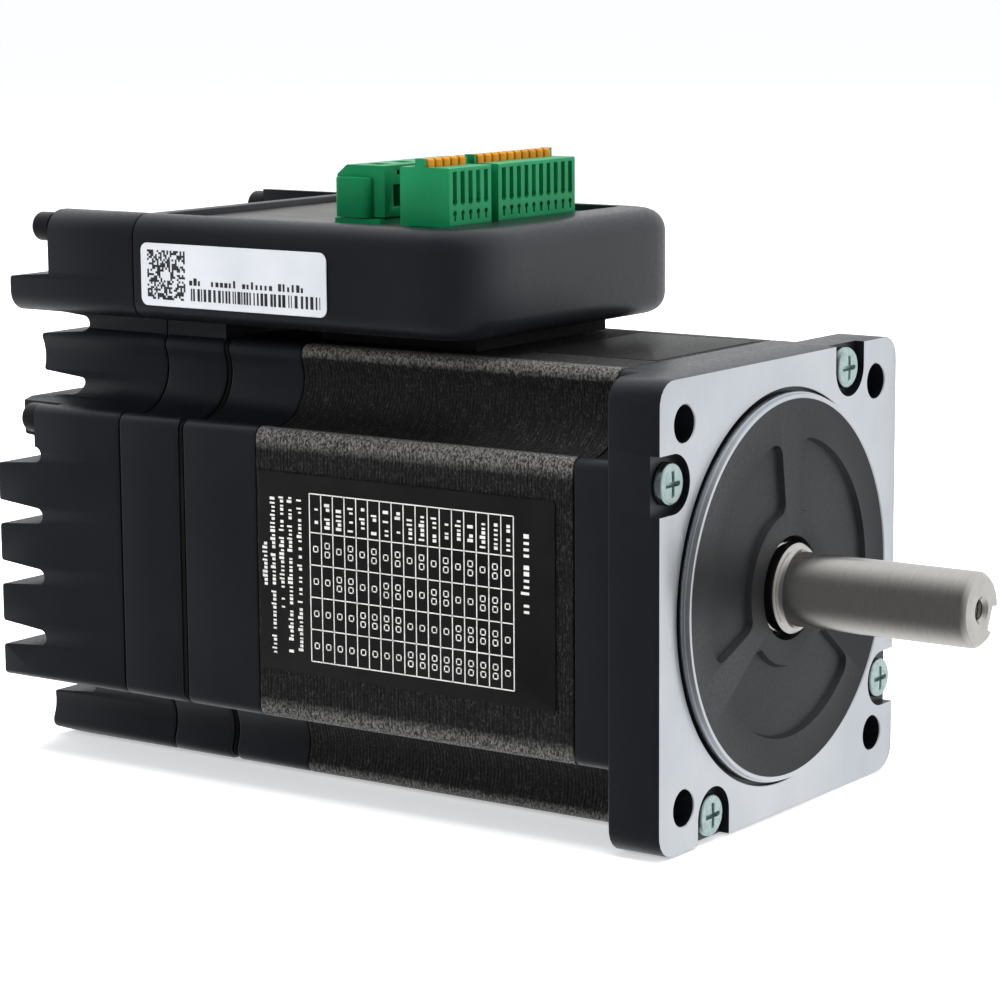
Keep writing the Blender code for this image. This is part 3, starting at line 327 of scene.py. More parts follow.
def laminatedSteel(pitch=0.5, cornerHighlightAt=48.8):
    # edges of thin sheets under worn black paint: lines across the axis and specks where rubbed; on the lobes'
    # corners, which lie further than the given corner radius from the axis, the light specks are partly rubbed
    # metal and partly a painted highlight
    material, tree, shader = newMaterial("laminatedSteel", 0.5, 0.1, 0.4)
    coordinates = tree.nodes.new("ShaderNodeTexCoord")
    axes = tree.nodes.new("ShaderNodeSeparateXYZ")
    tree.links.new(coordinates.outputs["Object"], axes.inputs["Vector"])
    sheet = mathOn(tree, "SINE", mathOn(tree, "MULTIPLY", axes.outputs["X"], 2 * math.pi / (pitch * mm)))
    streak = noiseOn(tree, 260, (9, 1, 1), detail=4.0)
    speck = noiseOn(tree, 1900, (1.6, 1, 1), detail=2.0)
    up = mathOn(tree, "SUBTRACT", axes.outputs["Z"], float(datum[2]))
    squares = [mathOn(tree, "MULTIPLY", side, side) for side in (axes.outputs["Y"], up)]
    outwards = mathOn(tree, "SQRT", mathOn(tree, "ADD", *squares))
    # painted highlight: past this radius the specks are lightened to stand in for light caught on the lobes'
    # rounded corners, as well as real rubbed wear
    corner = shareOf(tree, outwards, cornerHighlightAt * mm, (cornerHighlightAt + 1.0) * mm)
    rubbedAndHighlit = mathOn(tree, "MULTIPLY", corner, ranged(tree, speck, 0.4, 0.62, 0.1, 1.0))
    streaked = ranged(tree, streak, 0.35, 0.65, 0.15, 1.0)
    worn = mathOn(tree, "MULTIPLY", shareOf(tree, speck, 0.5, 0.68), streaked)
    sheetShare = shareOf(tree, sheet, -1.0, 1.0)
    base = blendColours(tree, sheetShare, (0.003, 0.003, 0.003), (0.0075, 0.0072, 0.007))
    faded = blendColours(tree, worn, base, (0.05, 0.048, 0.045))
    tint(tree, shader, rubbedAndHighlit, faded, (0.15, 0.145, 0.137))
    roughen(tree, shader, worn, 0.55, 0.34, 0.0, 1.0)
    height = mathOn(tree, "ADD", mathOn(tree, "MULTIPLY", sheet, 0.5), mathOn(tree, "MULTIPLY", streak, 0.5))
    bumpFrom(tree, shader, height, 0.015 * mm)
    return material


def machinedAluminium():
    # milled face: very fine straight tool marks and slow cloudiness
    material, tree, shader = newMaterial("machinedAluminium", 0.3, 1.0)
    marks = noiseOn(tree, 500, (1, 6, 0.4), detail=4.0)
    tint(tree, shader, shareOf(tree, noiseOn(tree, 28)), (0.58, 0.61, 0.65), (0.74, 0.76, 0.79))
    roughen(tree, shader, marks, 0.27, 0.4)
    bumpFrom(tree, shader, marks, 0.004 * mm)
    return material


def groundSteel(name, light, dark, roughness):
    # turned and ground steel: fine rings round the axis
    material, tree, shader = newMaterial(name, roughness, 1.0)
    rings = noiseOn(tree, 420, (14, 0.7, 0.7), detail=5.0)
    tint(tree, shader, shareOf(tree, rings), dark, light)
    roughen(tree, shader, rings, roughness - 0.04, roughness + 0.07)
    bumpFrom(tree, shader, rings, 0.0012 * mm)
    return material


def zincPlate():
    # bluish passivated zinc with a faint mottle
    material, tree, shader = newMaterial("zincPlate", 0.3, 1.0)
    mottle = noiseOn(tree, 900, detail=3.0)
    tint(tree, shader, shareOf(tree, mottle, 0.35, 0.65), (0.4, 0.53, 0.52), (0.58, 0.69, 0.68))
    roughen(tree, shader, mottle, 0.22, 0.42)
    bumpFrom(tree, shader, mottle, 0.008 * mm)
    return material


def warmPlate():
    # dark anodised plate with a warm haze and wiped smudges
    material, tree, shader = newMaterial("warmPlate", 0.4, 0.25, 0.35)
    haze = shareOf(tree, noiseOn(tree, 40, (1, 2.2, 1), detail=5.0), 0.35, 0.7)
    grain = noiseOn(tree, 1500, detail=3.0)
    tint(tree, shader, haze, (0.035, 0.033, 0.03), (0.085, 0.08, 0.07))
    roughen(tree, shader, haze, 0.33, 0.5, 0.0, 1.0)
    bumpFrom(tree, shader, grain, 0.01 * mm)
    return material


def copperWire():
    # windings seen as close turns
    material, tree, shader = newMaterial("copperWire", 0.35, 0.9)
    turns = noiseOn(tree, 300, (0.6, 6, 6), detail=3.0)
    tint(tree, shader, shareOf(tree, turns), (0.3, 0.08, 0.03), (0.62, 0.24, 0.1))
    bumpFrom(tree, shader, turns, 0.15 * mm)
    return material


# material name, dark and light colour, roughness, metallic, grain, grain depth in mm, patch, gloss
grained = {
    "pilot": ("paintedPilot", (0.01, 0.0105, 0.0115), (0.015, 0.0157, 0.017), 0.42, 0.05, 1600, 0.012, 60, 0.3),
    "green": ("greenNylon", (0.003, 0.16, 0.055), (0.006, 0.21, 0.078), 0.36, 0.0, 1100, 0.01, 90, 0.25),
    "orange": ("orangeNylon", (0.42, 0.17, 0.004), (0.52, 0.22, 0.007), 0.38, 0.0, 1100, 0.01, 120, 0.2),
    "silver": ("silverFilm", (0.55, 0.57, 0.61), (0.64, 0.66, 0.69), 0.4, 0.15, 1500, 0.004, 60, 0.4),
    "film": ("blackFilm", (0.004, 0.004, 0.004), (0.008, 0.008, 0.0075), 0.45, 0.0, 2000, 0.006, 60, 0.3),
    "whiteInk": ("whiteInk", (0.5, 0.5, 0.48), (0.7, 0.7, 0.67), 0.55, 0.0, 2500, 0.003, 400, 0.4),
    "blackInk": ("blackInk", (0.01, 0.01, 0.012), (0.03, 0.03, 0.033), 0.5, 0.0, 2500, 0.003, 500, 0.4),
    "screwBlack": ("blackOxide", (0.006, 0.006, 0.007), (0.014, 0.014, 0.016), 0.36, 0.4, 1500, 0.01, 60, 0.4),
    "rubber": ("blackRubber", (0.003, 0.003, 0.003), (0.006, 0.006, 0.006), 0.75, 0.0, 1300, 0.02, 60, 0.2),
    "magnet": ("magnetGrey", (0.08, 0.08, 0.085), (0.13, 0.13, 0.135), 0.5, 0.5, 900, 0.02, 60, 0.4),
    "board": ("boardGreen", (0.008, 0.09, 0.03), (0.014, 0.14, 0.045), 0.4, 0.0, 900, 0.01, 60, 0.4),
    "can": ("canSleeve", (0.012, 0.025, 0.09), (0.025, 0.045, 0.14), 0.32, 0.2, 900, 0.008, 60, 0.4),
    "pad": ("softPad", (0.2, 0.21, 0.23), (0.29, 0.3, 0.32), 0.8, 0.0, 1200, 0.02, 60, 0.4),
}
materials = {finish: grainedMaterial(*values) for finish, values in grained.items()}
materials.update({
    "casting": paintedCasting(), "sheets": laminatedSteel(), "machined": machinedAluminium(),
    "zinc": zincPlate(), "plate": warmPlate(), "copper": copperWire(),
    "steel": groundSteel("groundSteel", (0.62, 0.595, 0.56), (0.54, 0.515, 0.485), 0.2),
    "bearing": groundSteel("bearingSteel", (0.6, 0.61, 0.62), (0.45, 0.46, 0.47), 0.22),
    "core": groundSteel("coreSteel", (0.3, 0.3, 0.31), (0.2, 0.2, 0.21), 0.42),
})
print("materials made:", len(materials))

section = {"half": 42.5, "fillet": 2.2, "scallop": 8.7, "scallopCentre": 36.0,
           "flatPoints": 26, "filletPoints": 7, "scallopPoints": 22}


def sectionOutline(inset=0.0):
    # a square whose corners are scooped out by arcs, moved inwards by the inset; (y, z) points
    near = section["half"] - section["fillet"]
    reach = section["scallop"] + section["fillet"]
    across = near - section["scallopCentre"]
    far = section["scallopCentre"] - math.sqrt(reach ** 2 - across ** 2)
    lean = math.degrees(math.atan2(across, section["scallopCentre"] - far))
    flatEdge = section["half"] - inset
    flat = np.column_stack([np.full(section["flatPoints"], flatEdge),
                            np.linspace(-far, far, section["flatPoints"], endpoint=False)])
    fillet, scallop = section["fillet"] - inset, section["scallop"] + inset
    centre = (section["scallopCentre"],) * 2
    quarter = np.concatenate([
        flat,
        arcPoints((near, far), fillet, 0, 90 + lean, section["filletPoints"]),
        arcPoints(centre, scallop, -90 + lean, -180 - lean, section["scallopPoints"]),
        arcPoints((far, near), fillet, -lean, 90, section["filletPoints"])])
    turns = [quarter]
    for _ in range(3):
        turns.append(np.column_stack([-turns[-1][:, 1], turns[-1][:, 0]]))
    return np.concatenate(turns)


bearingOf = sectionOutline() / np.linalg.norm(sectionOutline(), axis=1)[:, None]    # direction of each point


def circleOutline(radius):
    # a circle with one point in the direction of each point of the section
    return bearingOf * radius


def squareOutline(half, corner):
    # a square with round corners, met by a ray in the direction of each point of the section
    folded = np.sort(np.abs(bearingOf), axis=1)[:, ::-1]
    flatHit = half / folded[:, 0]
    inner = half - corner
    lean = folded.sum(axis=1) * inner
    cornerHit = lean + np.sqrt(np.maximum(lean ** 2 - 2 * inner ** 2 + corner ** 2, 0.0))
    reach = np.where(folded[:, 1] * flatHit <= inner, flatHit, cornerHit)
    return bearingOf * reach[:, None]


def edgeRings(x, outward, radius, outline=sectionOutline, steps=5):
    # rings over a rounded edge, from the face at x onto the side; outward is +1 for a front face
    turn = np.linspace(0, np.pi / 2, steps)
    insets, places = radius * (1 - np.sin(turn)), x - outward * radius * (1 - np.cos(turn))
    return [ringAt(place, outline(inset)) for inset, place in zip(insets, places)]


def bodyShell(name, back, front, edge, bore, middle=()):
    # the section between two faces with rounded edges and a round bore
    rings = [ringAt(back, circleOutline(bore))] + edgeRings(back, -1, edge) + list(middle)
    rings += edgeRings(front, 1, edge)[::-1] + [ringAt(front, circleOutline(bore))]
    return skin(name, rings, closed=True)


def statorStack():
    # the section carried along the axis, drawn in at the joint after each sheet; shares are of a sheet
    settings = {"sheet": 0.8, "groove": 0.08, "flatShare": 0.72, "grooveShare": 0.86, "edge": 0.25,
                "margin": 0.4, "bore": 31.0}
    low, high = span("stator_stack")
    first = low[0] + settings["edge"] + settings["margin"]
    last = high[0] - settings["edge"] - settings["margin"]
    sheet = settings["sheet"]
    middle = []
    for start in np.arange(first, last, sheet):
        middle.append(ringAt(start, sectionOutline()))
        middle.append(ringAt(start + settings["flatShare"] * sheet, sectionOutline()))
        middle.append(ringAt(start + settings["grooveShare"] * sheet, sectionOutline(settings["groove"])))
    stack = bodyShell("laminatedStack", low[0], high[0], settings["edge"], settings["bore"], middle)
    finishPiece(stack, [materials["sheets"]], ["stator_stack"], sharp=50)


def rearBell():
    # the section with rounded edges and a bore, and behind it a thin gasket drawn in by its inset
    settings = {"edge": 0.55, "bore": 30.0, "gap": 0.3, "gasketInset": 0.4}
    front = span("rear_bell")[1][0]
    gasketLow, gasketHigh = span("motor_gasket")
    first, last, bore = gasketLow[0], gasketHigh[0], settings["bore"]
    bell = bodyShell("rearBell", last + settings["gap"], front, settings["edge"], bore)
    finishPiece(bell, [materials["casting"]], ["rear_bell"])
    outline, hole = sectionOutline(settings["gasketInset"]), circleOutline(bore)
    rings = [ringAt(first, hole), ringAt(first, outline), ringAt(last, outline), ringAt(last, hole)]
    finishPiece(skin("bellGasket", rings, closed=True), [materials["rubber"]], ["motor_gasket"])


flange = {"half": 43.0, "corner": 4.5, "thickness": 11.0, "edge": 0.5, "faceEdge": 0.22,
          "pilot": 36.5, "pilotStep": 0.28, "groove": 0.8, "grooveDepth": 1.0, "rim": 35.5, "paintSink": 0.25,
          "boltAt": 34.8, "boltRadius": 3.4, "boltChamfer": 0.18, "holeRadius": 9.7,
          "pocketIn": 14.5, "pocketOut": 28.3, "pocketSpan": 104.0, "pocketDepth": 1.1,
          "pocketSlope": 0.5, "pocketCorner": 2.6,
          "screwOut": 38.4, "screwSide": 24.5, "notchRadius": 5.4, "notchDepth": 2.0}


def pocketOutline(third, inset):
    # a rounded rectangle bent round the axis: its length is an angle, its width a range of radii
    inner, outer = flange["pocketIn"] + inset, flange["pocketOut"] - inset
    middle = (flange["pocketIn"] + flange["pocketOut"]) / 2
    halfLength = math.radians(flange["pocketSpan"] / 2) * middle
    corner = flange["pocketCorner"] - inset
    plan = roundedPlan((-halfLength, inner), (halfLength, outer), [corner] * 4, side=24, corner=10)
    radius = plan[:, 1]
    swing = plan[:, 0] / middle * (1 - inset * middle / (halfLength * radius))
    angle = math.radians(150 + 120 * third) + swing
    return np.column_stack([radius * np.cos(angle), radius * np.sin(angle)])


def quarterTurns(points):
    # points given once and turned three times about the shaft axis
    turns = [np.array(points, float)]
    for _ in range(3):
        turns.append(np.column_stack([-turns[-1][:, 1], turns[-1][:, 0]]))
    return turns


def frontBell():
    # rings from the back edge over the square flange to the pilot and down the bore; pockets, bolt holes,
    # notches and screw holes are cut out, and each face is painted or bare by where it lies
    painted = motor["pilotHeight"] - flange["paintSink"]
    back, thick = span("front_bell")[0][0], -flange["thickness"]

    def square(inset):
        # the flange's outline drawn in by the inset
        return squareOutline(flange["half"] - inset, flange["corner"] - inset)
    rings = [ringAt(back, circleOutline(38.3))] + edgeRings(back, -1, 0.4)
    rings += [ringAt(thick, sectionOutline())]
    rings += edgeRings(thick, -1, flange["edge"], square)
    rings += edgeRings(0.0, 1, flange["faceEdge"], square, 3)[::-1]
    pilot, groove, step = flange["pilot"], flange["pilot"] + flange["groove"], flange["pilotStep"]
    hole = flange["holeRadius"]
    profile = [(groove + 0.12, 0.0), (groove, -0.12), (groove, -flange["grooveDepth"]),
               (pilot, -flange["grooveDepth"]), (pilot, -0.05), (pilot, 1.0), (pilot - 0.08, 1.08),
               (pilot - step, 1.08), (pilot - step, 1.7), (pilot - step - 0.1, 1.92),
               (pilot - step - 0.3, 2.0), (flange["rim"] + 0.1, 2.0), (flange["rim"], 1.95),
               (flange["rim"] - 0.15, painted), (hole + 0.5, painted), (hole + 0.12, painted - 0.15),
               (hole, painted - 0.5), (hole, -2.7), (17.8, -2.7), (17.8, -13.3), (22.2, -13.3),
               (22.2, -9.8), (38.3, -9.8)]
    rings += [ringAt(x, circleOutline(radius)) for radius, x in profile]
    bell = skin("frontBell", rings, closed=True)

    depth = flange["pocketDepth"]
    pockets = [skin("pocket", [ringAt(painted - depth, pocketOutline(third, flange["pocketSlope"])),
                               ringAt(painted + 0.4, pocketOutline(third, -0.18))]) for third in range(3)]
    at = flange["boltAt"]
    bolts = []
    for y, z in ((-at, -at), (at, -at), (at, at), (-at, at)):
        wide, edge = flange["boltRadius"] + 1.3, flange["boltChamfer"]
        bore = [(0, 1.0), (wide, 1.0), (flange["boltRadius"], -edge), (flange["boltRadius"], thick + edge),
                (wide, thick - 1.0), (0, thick - 1.0)]
        bolts.append(turned("boltHole", bore, 64, (y, z)))
    out, side, radius = flange["screwOut"], flange["screwSide"], flange["notchRadius"]
    notch = np.concatenate([arcPoints((-out, side), radius, -90, 90, 32, last=True),
                            [(-flange["half"] - 1, side + radius), (-flange["half"] - 1, side - radius)]])
    notches = [prism("notch", outline, -flange["notchDepth"], 1.0) for outline in quarterTurns(notch)]
    holes = [turned("screwHole", [(0, 0.5), (2.3, 0.5), (2.3, back - 1), (0, back - 1)], 32, tuple(turn[0]))
             for turn in quarterTurns([(-out, side)])]
    carve(bell, *pockets, *bolts, *notches, *holes)
    softenEdges(bell, 0.09, 1, 50)

    finishes = [materials["casting"], materials["machined"], materials["pilot"]]
    finishPiece(bell, finishes, ["front_bell"])
    mesh = bell.data
    centres, normals = np.empty(len(mesh.polygons) * 3), np.empty(len(mesh.polygons) * 3)
    mesh.polygons.foreach_get("center", centres)
    mesh.polygons.foreach_get("normal", normals)
    centres = (centres.reshape(-1, 3) - datum) / mm
    facing = normals.reshape(-1, 3)[:, 0]
    radial = np.hypot(centres[:, 1], centres[:, 2])
    face = (centres[:, 0] > -0.1) & (facing > 0.35) & (radial > groove - 0.1)
    rim = (radial > flange["rim"] - 0.1) & (radial < pilot + 0.05) & (centres[:, 0] > -0.1)
    disc = (radial < flange["rim"] - 0.1) & (centres[:, 0] > -2.0)
    finish = np.where(face | rim, 1, np.where(disc, 2, 0))    # places in the list of finishes
    mesh.polygons.foreach_set("material_index", finish.astype(np.int32))


def crossHead(name, node, outward, settings, material):
    # a domed round head: height falls with the square of the radius, rounds off at the rim, and a
    # cross of two tapering slots is sunk into it
    low, high = span(node)
    centre = (low[1:] + high[1:]) / 2
    faceX = high[0] if outward > 0 else low[0]
    length = high[0] - low[0]
    radius, angle = np.meshgrid(np.linspace(0, 1, settings["rings"]) ** 0.9 * settings["radius"],
                                np.linspace(0, 2 * np.pi, settings["steps"], endpoint=False), indexing="ij")
    first, second = np.abs(radius * np.cos(angle)), np.abs(radius * np.sin(angle))
    across, along = np.minimum(first, second), np.maximum(first, second)
    arm = np.clip((settings["slot"] - across) / 0.1, 0, 1) * np.clip((settings["reach"] - along) / 0.45, 0, 1)
    rim = np.clip((radius - settings["radius"] + settings["round"]) / settings["round"], 0, 1)
    drop = settings["dome"] * (radius / settings["radius"]) ** 2
    drop += settings["round"] * (1 - np.sqrt(np.maximum(1 - rim ** 2, 0))) + settings["sink"] * arm
    top = np.stack([faceX - outward * drop, centre[0] + radius * np.cos(angle),
                    centre[1] + radius * np.sin(angle)], -1)
    turn = np.linspace(0, 2 * np.pi, settings["steps"], endpoint=False)
    lower = [(settings["radius"], settings["height"]), (settings["shank"], settings["height"]),
             (settings["shank"], length - 0.4), (settings["shank"] - 0.4, length)]
    rings = [np.stack([np.full(len(turn), faceX - outward * down), centre[0] + size * np.cos(turn),
                       centre[1] + size * np.sin(turn)], -1) for size, down in lower]
    head = skin(name, np.concatenate([top, rings]), capFirst=False)
    finishPiece(head, [material], [node], sharp=38)


def screws():
    # four zinc screws in the flange's notches and six black ones in the rear cover
    zinc = {"radius": 3.9, "height": 1.6, "round": 0.6, "dome": 0.2, "slot": 0.42, "reach": 2.35, "sink": 1.1,
            "shank": 2.0, "rings": 46, "steps": 112}
    black = {"radius": 2.9, "height": 4.5, "round": 0.9, "dome": 0.2, "slot": 0.34, "reach": 1.75,
             "sink": 1.0, "shank": 1.5, "rings": 34, "steps": 80}
    for number in range(1, 5):
        node = "flange_screw_%d" % number
        crossHead("flangeScrew%d" % number, node, 1, zinc, materials["zinc"])
    for number in range(1, 7):
        node = "cover_screw_%d" % number
        crossHead("coverScrew%d" % number, node, -1, black, materials["screwBlack"])


def shaft():
    # a turned bar: tapped centre hole, chamfered tip, bearing journal, rotor seat and stepped tail, with a
    # round-ended key slot cut along it and turned to its angle
    settings = {"radius": 7.0, "chamfer": 0.9, "journal": 8.5, "journalOut": 3.0, "seat": 9.2, "tap": 2.1,
                "tapDepth": 10.0, "thread": 0.8, "threadDepth": 0.28, "keyWidth": 5.0, "keyDepth": 3.0,
                "keyLength": 25.0, "keyAngle": -25.0}
    low, high = span("shaft")
    tip, r, seat = high[0], settings["radius"], settings["seat"]
    tap, chamfer = settings["tap"], settings["chamfer"]
    journal, out = settings["journal"], settings["journalOut"]
    turns = np.arange(tip - settings["tapDepth"], tip - 0.8, settings["thread"])
    thread = [(tap - settings["threadDepth"] * step, x + settings["thread"] * share)
              for x in turns for step, share in ((0, 0.05), (1, 0.5))]
    profile = [(0, turns[0] - 1.5)] + thread + [(tap + 0.1, tip - 0.5), (tap + 0.5, tip)]
    profile += [(r - chamfer, tip), (r - 0.12, tip - chamfer + 0.1), (r, tip - chamfer - 0.15),
                (r, out + 0.9), (r + 0.25, out + 0.25), (r + 0.5, out), (journal - 0.35, out),
                (journal, out - 0.35), (journal, 0.9), (journal - 0.3, 0.8), (journal - 0.3, 0.2),
                (journal, 0.1), (journal, -14.5), (seat, -14.5), (seat, -97.0), (7.5, -97.0),
                (7.5, -107.0), (5.0, -107.0), (5.0, low[0]), (0, low[0])]
    bar = turned("shaftBar", profile, 144)
    half = settings["keyWidth"] / 2
    foot = tip - settings["keyLength"]
    slotOutline = np.concatenate([arcPoints((foot + half, 0), half, 90, 270, 24, last=True),
                                  [(tip + 2, -half), (tip + 2, half)]])
    key = prism("keySlot", slotOutline, r - settings["keyDepth"], r + 2, axis=1)
    turn = Matrix.Rotation(math.radians(settings["keyAngle"]), 4, "X")
    axis = Matrix.Translation(Vector(datum))
    key.data.transform(axis @ turn @ axis.inverted())
    carve(bar, key)
    softenEdges(bar, 0.12, 2, 45)
    finishPiece(bar, [materials["steel"]], ["shaft"], "rotor")


statorStack()
rearBell()
frontBell()
screws()
shaft()
print("motor, screws and shaft made")

box = {"half": 37.0, "low": 46.0, "top": 66.6, "corner": 12.0, "topEdge": 4.5, "lowEdge": 4.0,
       "seamEdge": 0.35, "seamGap": 0.3, "frameEdge": 0.65, "bore": 30.0,
       "deckHalf": 31.0, "deckCorner": 2.0, "deckEdge": 0.25, "deckGap": 0.3,
       "neckHalf": 27.0, "neckLow": 37.0, "neckTop": 48.5}


def boxPlan(back, front, inset):
    # the driver box from above: round front corners, nearly square ones at the seam
    half = box["half"] - inset
    corner, seam = box["corner"] - inset, box["seamEdge"]
    return roundedPlan((back, -half), (front - inset, half), [seam, corner, corner, seam])


def planRing(plan, z):
    # a plan of (x, y) points laid flat at z
    return np.column_stack([plan, np.full(len(plan), z)])


def driverHousing():
    # the frame behind the motor is the motor's section; the box is its plan carried up round its lower and
    # upper edges and down into a recess for the deck plate; a neck joins the two
    frameBack = span("rear_cover")[1][0] + box["seamGap"]
    frameFront = span("motor_gasket")[0][0] - box["seamGap"]
    front = span("driver_housing")[1][0]
    deckLow, deckHigh = span("deck_plate")
    lower = bodyShell("driverHousing", frameBack, frameFront, box["frameEdge"], box["bore"])
    turn = np.linspace(0, np.pi / 2, 7)
    lowEdge, topEdge = box["lowEdge"], box["topEdge"]
    insets = np.concatenate([lowEdge * (1 - np.sin(turn)), topEdge * (1 - np.cos(turn))])
    heights = np.concatenate([box["low"] + lowEdge * (1 - np.cos(turn)),
                              box["top"] - topEdge * (1 - np.sin(turn))])
    rings = [planRing(boxPlan(frameBack, front, inset), z) for inset, z in zip(insets, heights)]

    def deckPlan(grow):
        # the deck plate's plan with its gap, grown all round
        across = box["deckHalf"] + grow
        start, end = deckLow[0] - box["deckGap"] - grow, deckHigh[0] + box["deckGap"] + grow
        return roundedPlan((start, -across), (end, across), [box["deckCorner"] + grow] * 4)
    rings.append(planRing(deckPlan(box["deckEdge"]), box["top"]))
    rings.append(planRing(deckPlan(0.06), box["top"] - 0.08))
    rings.append(planRing(deckPlan(0), box["top"] - box["deckEdge"]))
    rings.append(planRing(deckPlan(0), deckLow[2] - box["deckGap"]))
    upper = skin("driverBox", rings)
    neck = blocks("housingNeck", [(frameBack + 0.003, -box["neckHalf"], box["neckLow"])],
                  [(frameFront - 0.004, box["neckHalf"], box["neckTop"])])
    carve(lower, neck, upper, operation="UNION")
    finishPiece(lower, [materials["casting"]], ["driver_housing"], sharp=28)


fins = {"pitch": 12.45, "tip": 7.7, "root": 9.3, "start": -0.5, "below": 3, "above": 4, "tipRound": 0.7,
        "shoulder": 2, "shoulderHalf": 34.0, "endDraft": 0.45, "topCut": 6.6, "cutHalf": 31.0,
        "headSink": 4.9, "holeRadius": 1.8, "wellRadius": 3.05}


def finOutline(coverBack, tipX, front):
    # side outline (x, z): tapered fins with rounded tips and round gullets, from the top fin down
    gullet = (fins["pitch"] - fins["root"]) / 2
    r = fins["tipRound"]
    parts = [np.array([(front, -60.0), (front, 80.0), (coverBack, 80.0)])]
    for fin in range(fins["above"], -fins["below"] - 1, -1):
        middle = fins["start"] + fins["pitch"] * fin
        top, low = middle + fins["tip"] / 2, middle - fins["tip"] / 2
        parts.append(np.array([(coverBack, middle + fins["root"] / 2)]))
        parts.append(arcPoints((tipX + r, top - r), r, 83, 180, 6, last=True))
        parts.append(arcPoints((tipX + r, low + r), r, 180, 277, 6, last=True))
        if fin > -fins["below"]:
            foot = (coverBack, middle - fins["pitch"] / 2)
            parts.append(arcPoints(foot, gullet, 90, -90, 13, last=True)[:-1])
    parts.append(np.array([(coverBack, middle - fins["root"] / 2), (coverBack, -60.0)]))
    return np.concatenate(parts)


def rearCover():
    # the motor's section, the neck and the box carried back and cut to the fins' side outline; the shoulder
    # fin is shortened, the roof is cut back, wedges lean the fins' ends in, and the screws go through
    low, high = span("rear_cover")
    tipX, front = low[0], high[0]
    coverBack = span("cover_screw_1")[0][0] + fins["headSink"]
    frameRings = edgeRings(front, 1, box["frameEdge"])[::-1]
    cover = skin("rearCover", [ringAt(tipX - 1, sectionOutline())] + frameRings)

    def boxSection(inset):
        # the driver box seen from behind, drawn in by the inset
        half, foot, top = box["half"] - inset, box["low"] + inset, box["top"] - inset
        below, above = box["lowEdge"] - inset, box["topEdge"] - inset
        return roundedPlan((-half, foot), (half, top), [below, below, above, above])
    upper = skin("coverBox", [ringAt(tipX - 1.01, boxSection(0))]
                 + edgeRings(front + 0.001, 1, box["seamEdge"], boxSection)[::-1])
    neck = blocks("coverNeck", [(tipX - 1.02, -box["neckHalf"], box["neckLow"])],
                  [(front - 0.01, box["neckHalf"], box["neckTop"])])
    carve(cover, neck, upper, operation="UNION")
    finShape = prism("finShape", finOutline(coverBack, tipX, front + 5), -50.0, 50.0, axis=1)
    carve(cover, finShape, operation="INTERSECT")

    half, cut = fins["shoulderHalf"], fins["cutHalf"]
    middle = fins["start"] + fins["pitch"] * fins["shoulder"]
    bottom, top = middle - fins["pitch"] / 2, middle + fins["pitch"] / 2 - 0.01
    lows = [(tipX - 1, -50, bottom), (tipX - 1, half, bottom), (tipX - 2, -cut, box["top"] - fins["topCut"])]
    highs = [(coverBack, -half, top), (coverBack, 50, top), (front + 2, cut, box["top"] + 8)]
    ends = blocks("finEnds", lows, highs)
    draft = []
    reach = section["half"] + 0.02
    for sign in (-1, 1):
        # a wedge that leans the fins' ends in towards their tips
        wedge = np.array([(coverBack, sign * reach), (tipX - 1, sign * (reach - fins["endDraft"] * 1.1)),
                          (tipX - 1, sign * (reach + 4)), (coverBack, sign * (reach + 4))])
        draft.append(prism("finDraft", wedge, -31.0, 31.0, axis=2))
    holes = []
    for number in range(1, 7):
        screwLow, screwHigh = span("cover_screw_%d" % number)
        centre = (screwLow[1:] + screwHigh[1:]) / 2
        hole = fins["holeRadius"]
        wide = fins["wellRadius"] if centre[1] < 0 else hole
        profile = [(0, front + 1), (hole, front + 1), (hole, coverBack), (wide, coverBack - 0.01),
                   (wide, tipX - 2), (0, tipX - 2)]
        holes.append(turned("coverHole", profile, 40, tuple(centre)))
    carve(cover, ends, *draft, *holes)
    softenEdges(cover, 0.25, 2, 40)
    finishPiece(cover, [materials["casting"]], ["rear_cover"], sharp=30)


driverHousing()
rearCover()
print("housing and cover made")

plug = {"pitch": 2.5, "end": 0.6, "edge": 0.25, "bodyHeight": 11.0, "step": 0.1,
        "grooveWidth": 1.25, "grooveDepth": 1.25, "grooveLow": 4.7, "grooveTop": 0.75,
        "pitRadius": 0.68, "pitDepth": 1.9,
        "keyUp": 2.5, "keyRadius": 0.5, "keyDepth": 1.2, "keyTail": 0.95}


def plugFront(y, z, centres, height):
    # depth of the plug's front face: a flute at each way, a round pit at its foot and a keyhole below
    away = np.abs(y[..., None] - centres).min(axis=-1)
    flute = np.clip((plug["grooveWidth"] / 2 - away) / 0.16, 0, 1)
    flute *= (np.clip((z - plug["grooveLow"]) / 0.15, 0, 1)
              * np.clip((height - plug["grooveTop"] - z) / 0.15, 0, 1))
    hollow = plug["grooveDepth"] * flute * (1 - 0.25 * (away / plug["grooveWidth"]) ** 2)
    pit = np.clip((plug["pitRadius"] - np.hypot(away, z - plug["grooveLow"])) / 0.12, 0, 1) * plug["pitDepth"]
    keyhole = np.clip((plug["keyRadius"] - np.hypot(away, z - plug["keyUp"])) / 0.12, 0, 1)
    tail = np.clip((0.24 - away) / 0.1, 0, 1)
    tail *= np.clip((plug["keyTail"] - np.abs(z - plug["keyUp"] + 0.5)) / 0.12, 0, 1)
    return np.maximum(np.maximum(hollow, pit), np.maximum(keyhole, tail) * plug["keyDepth"])


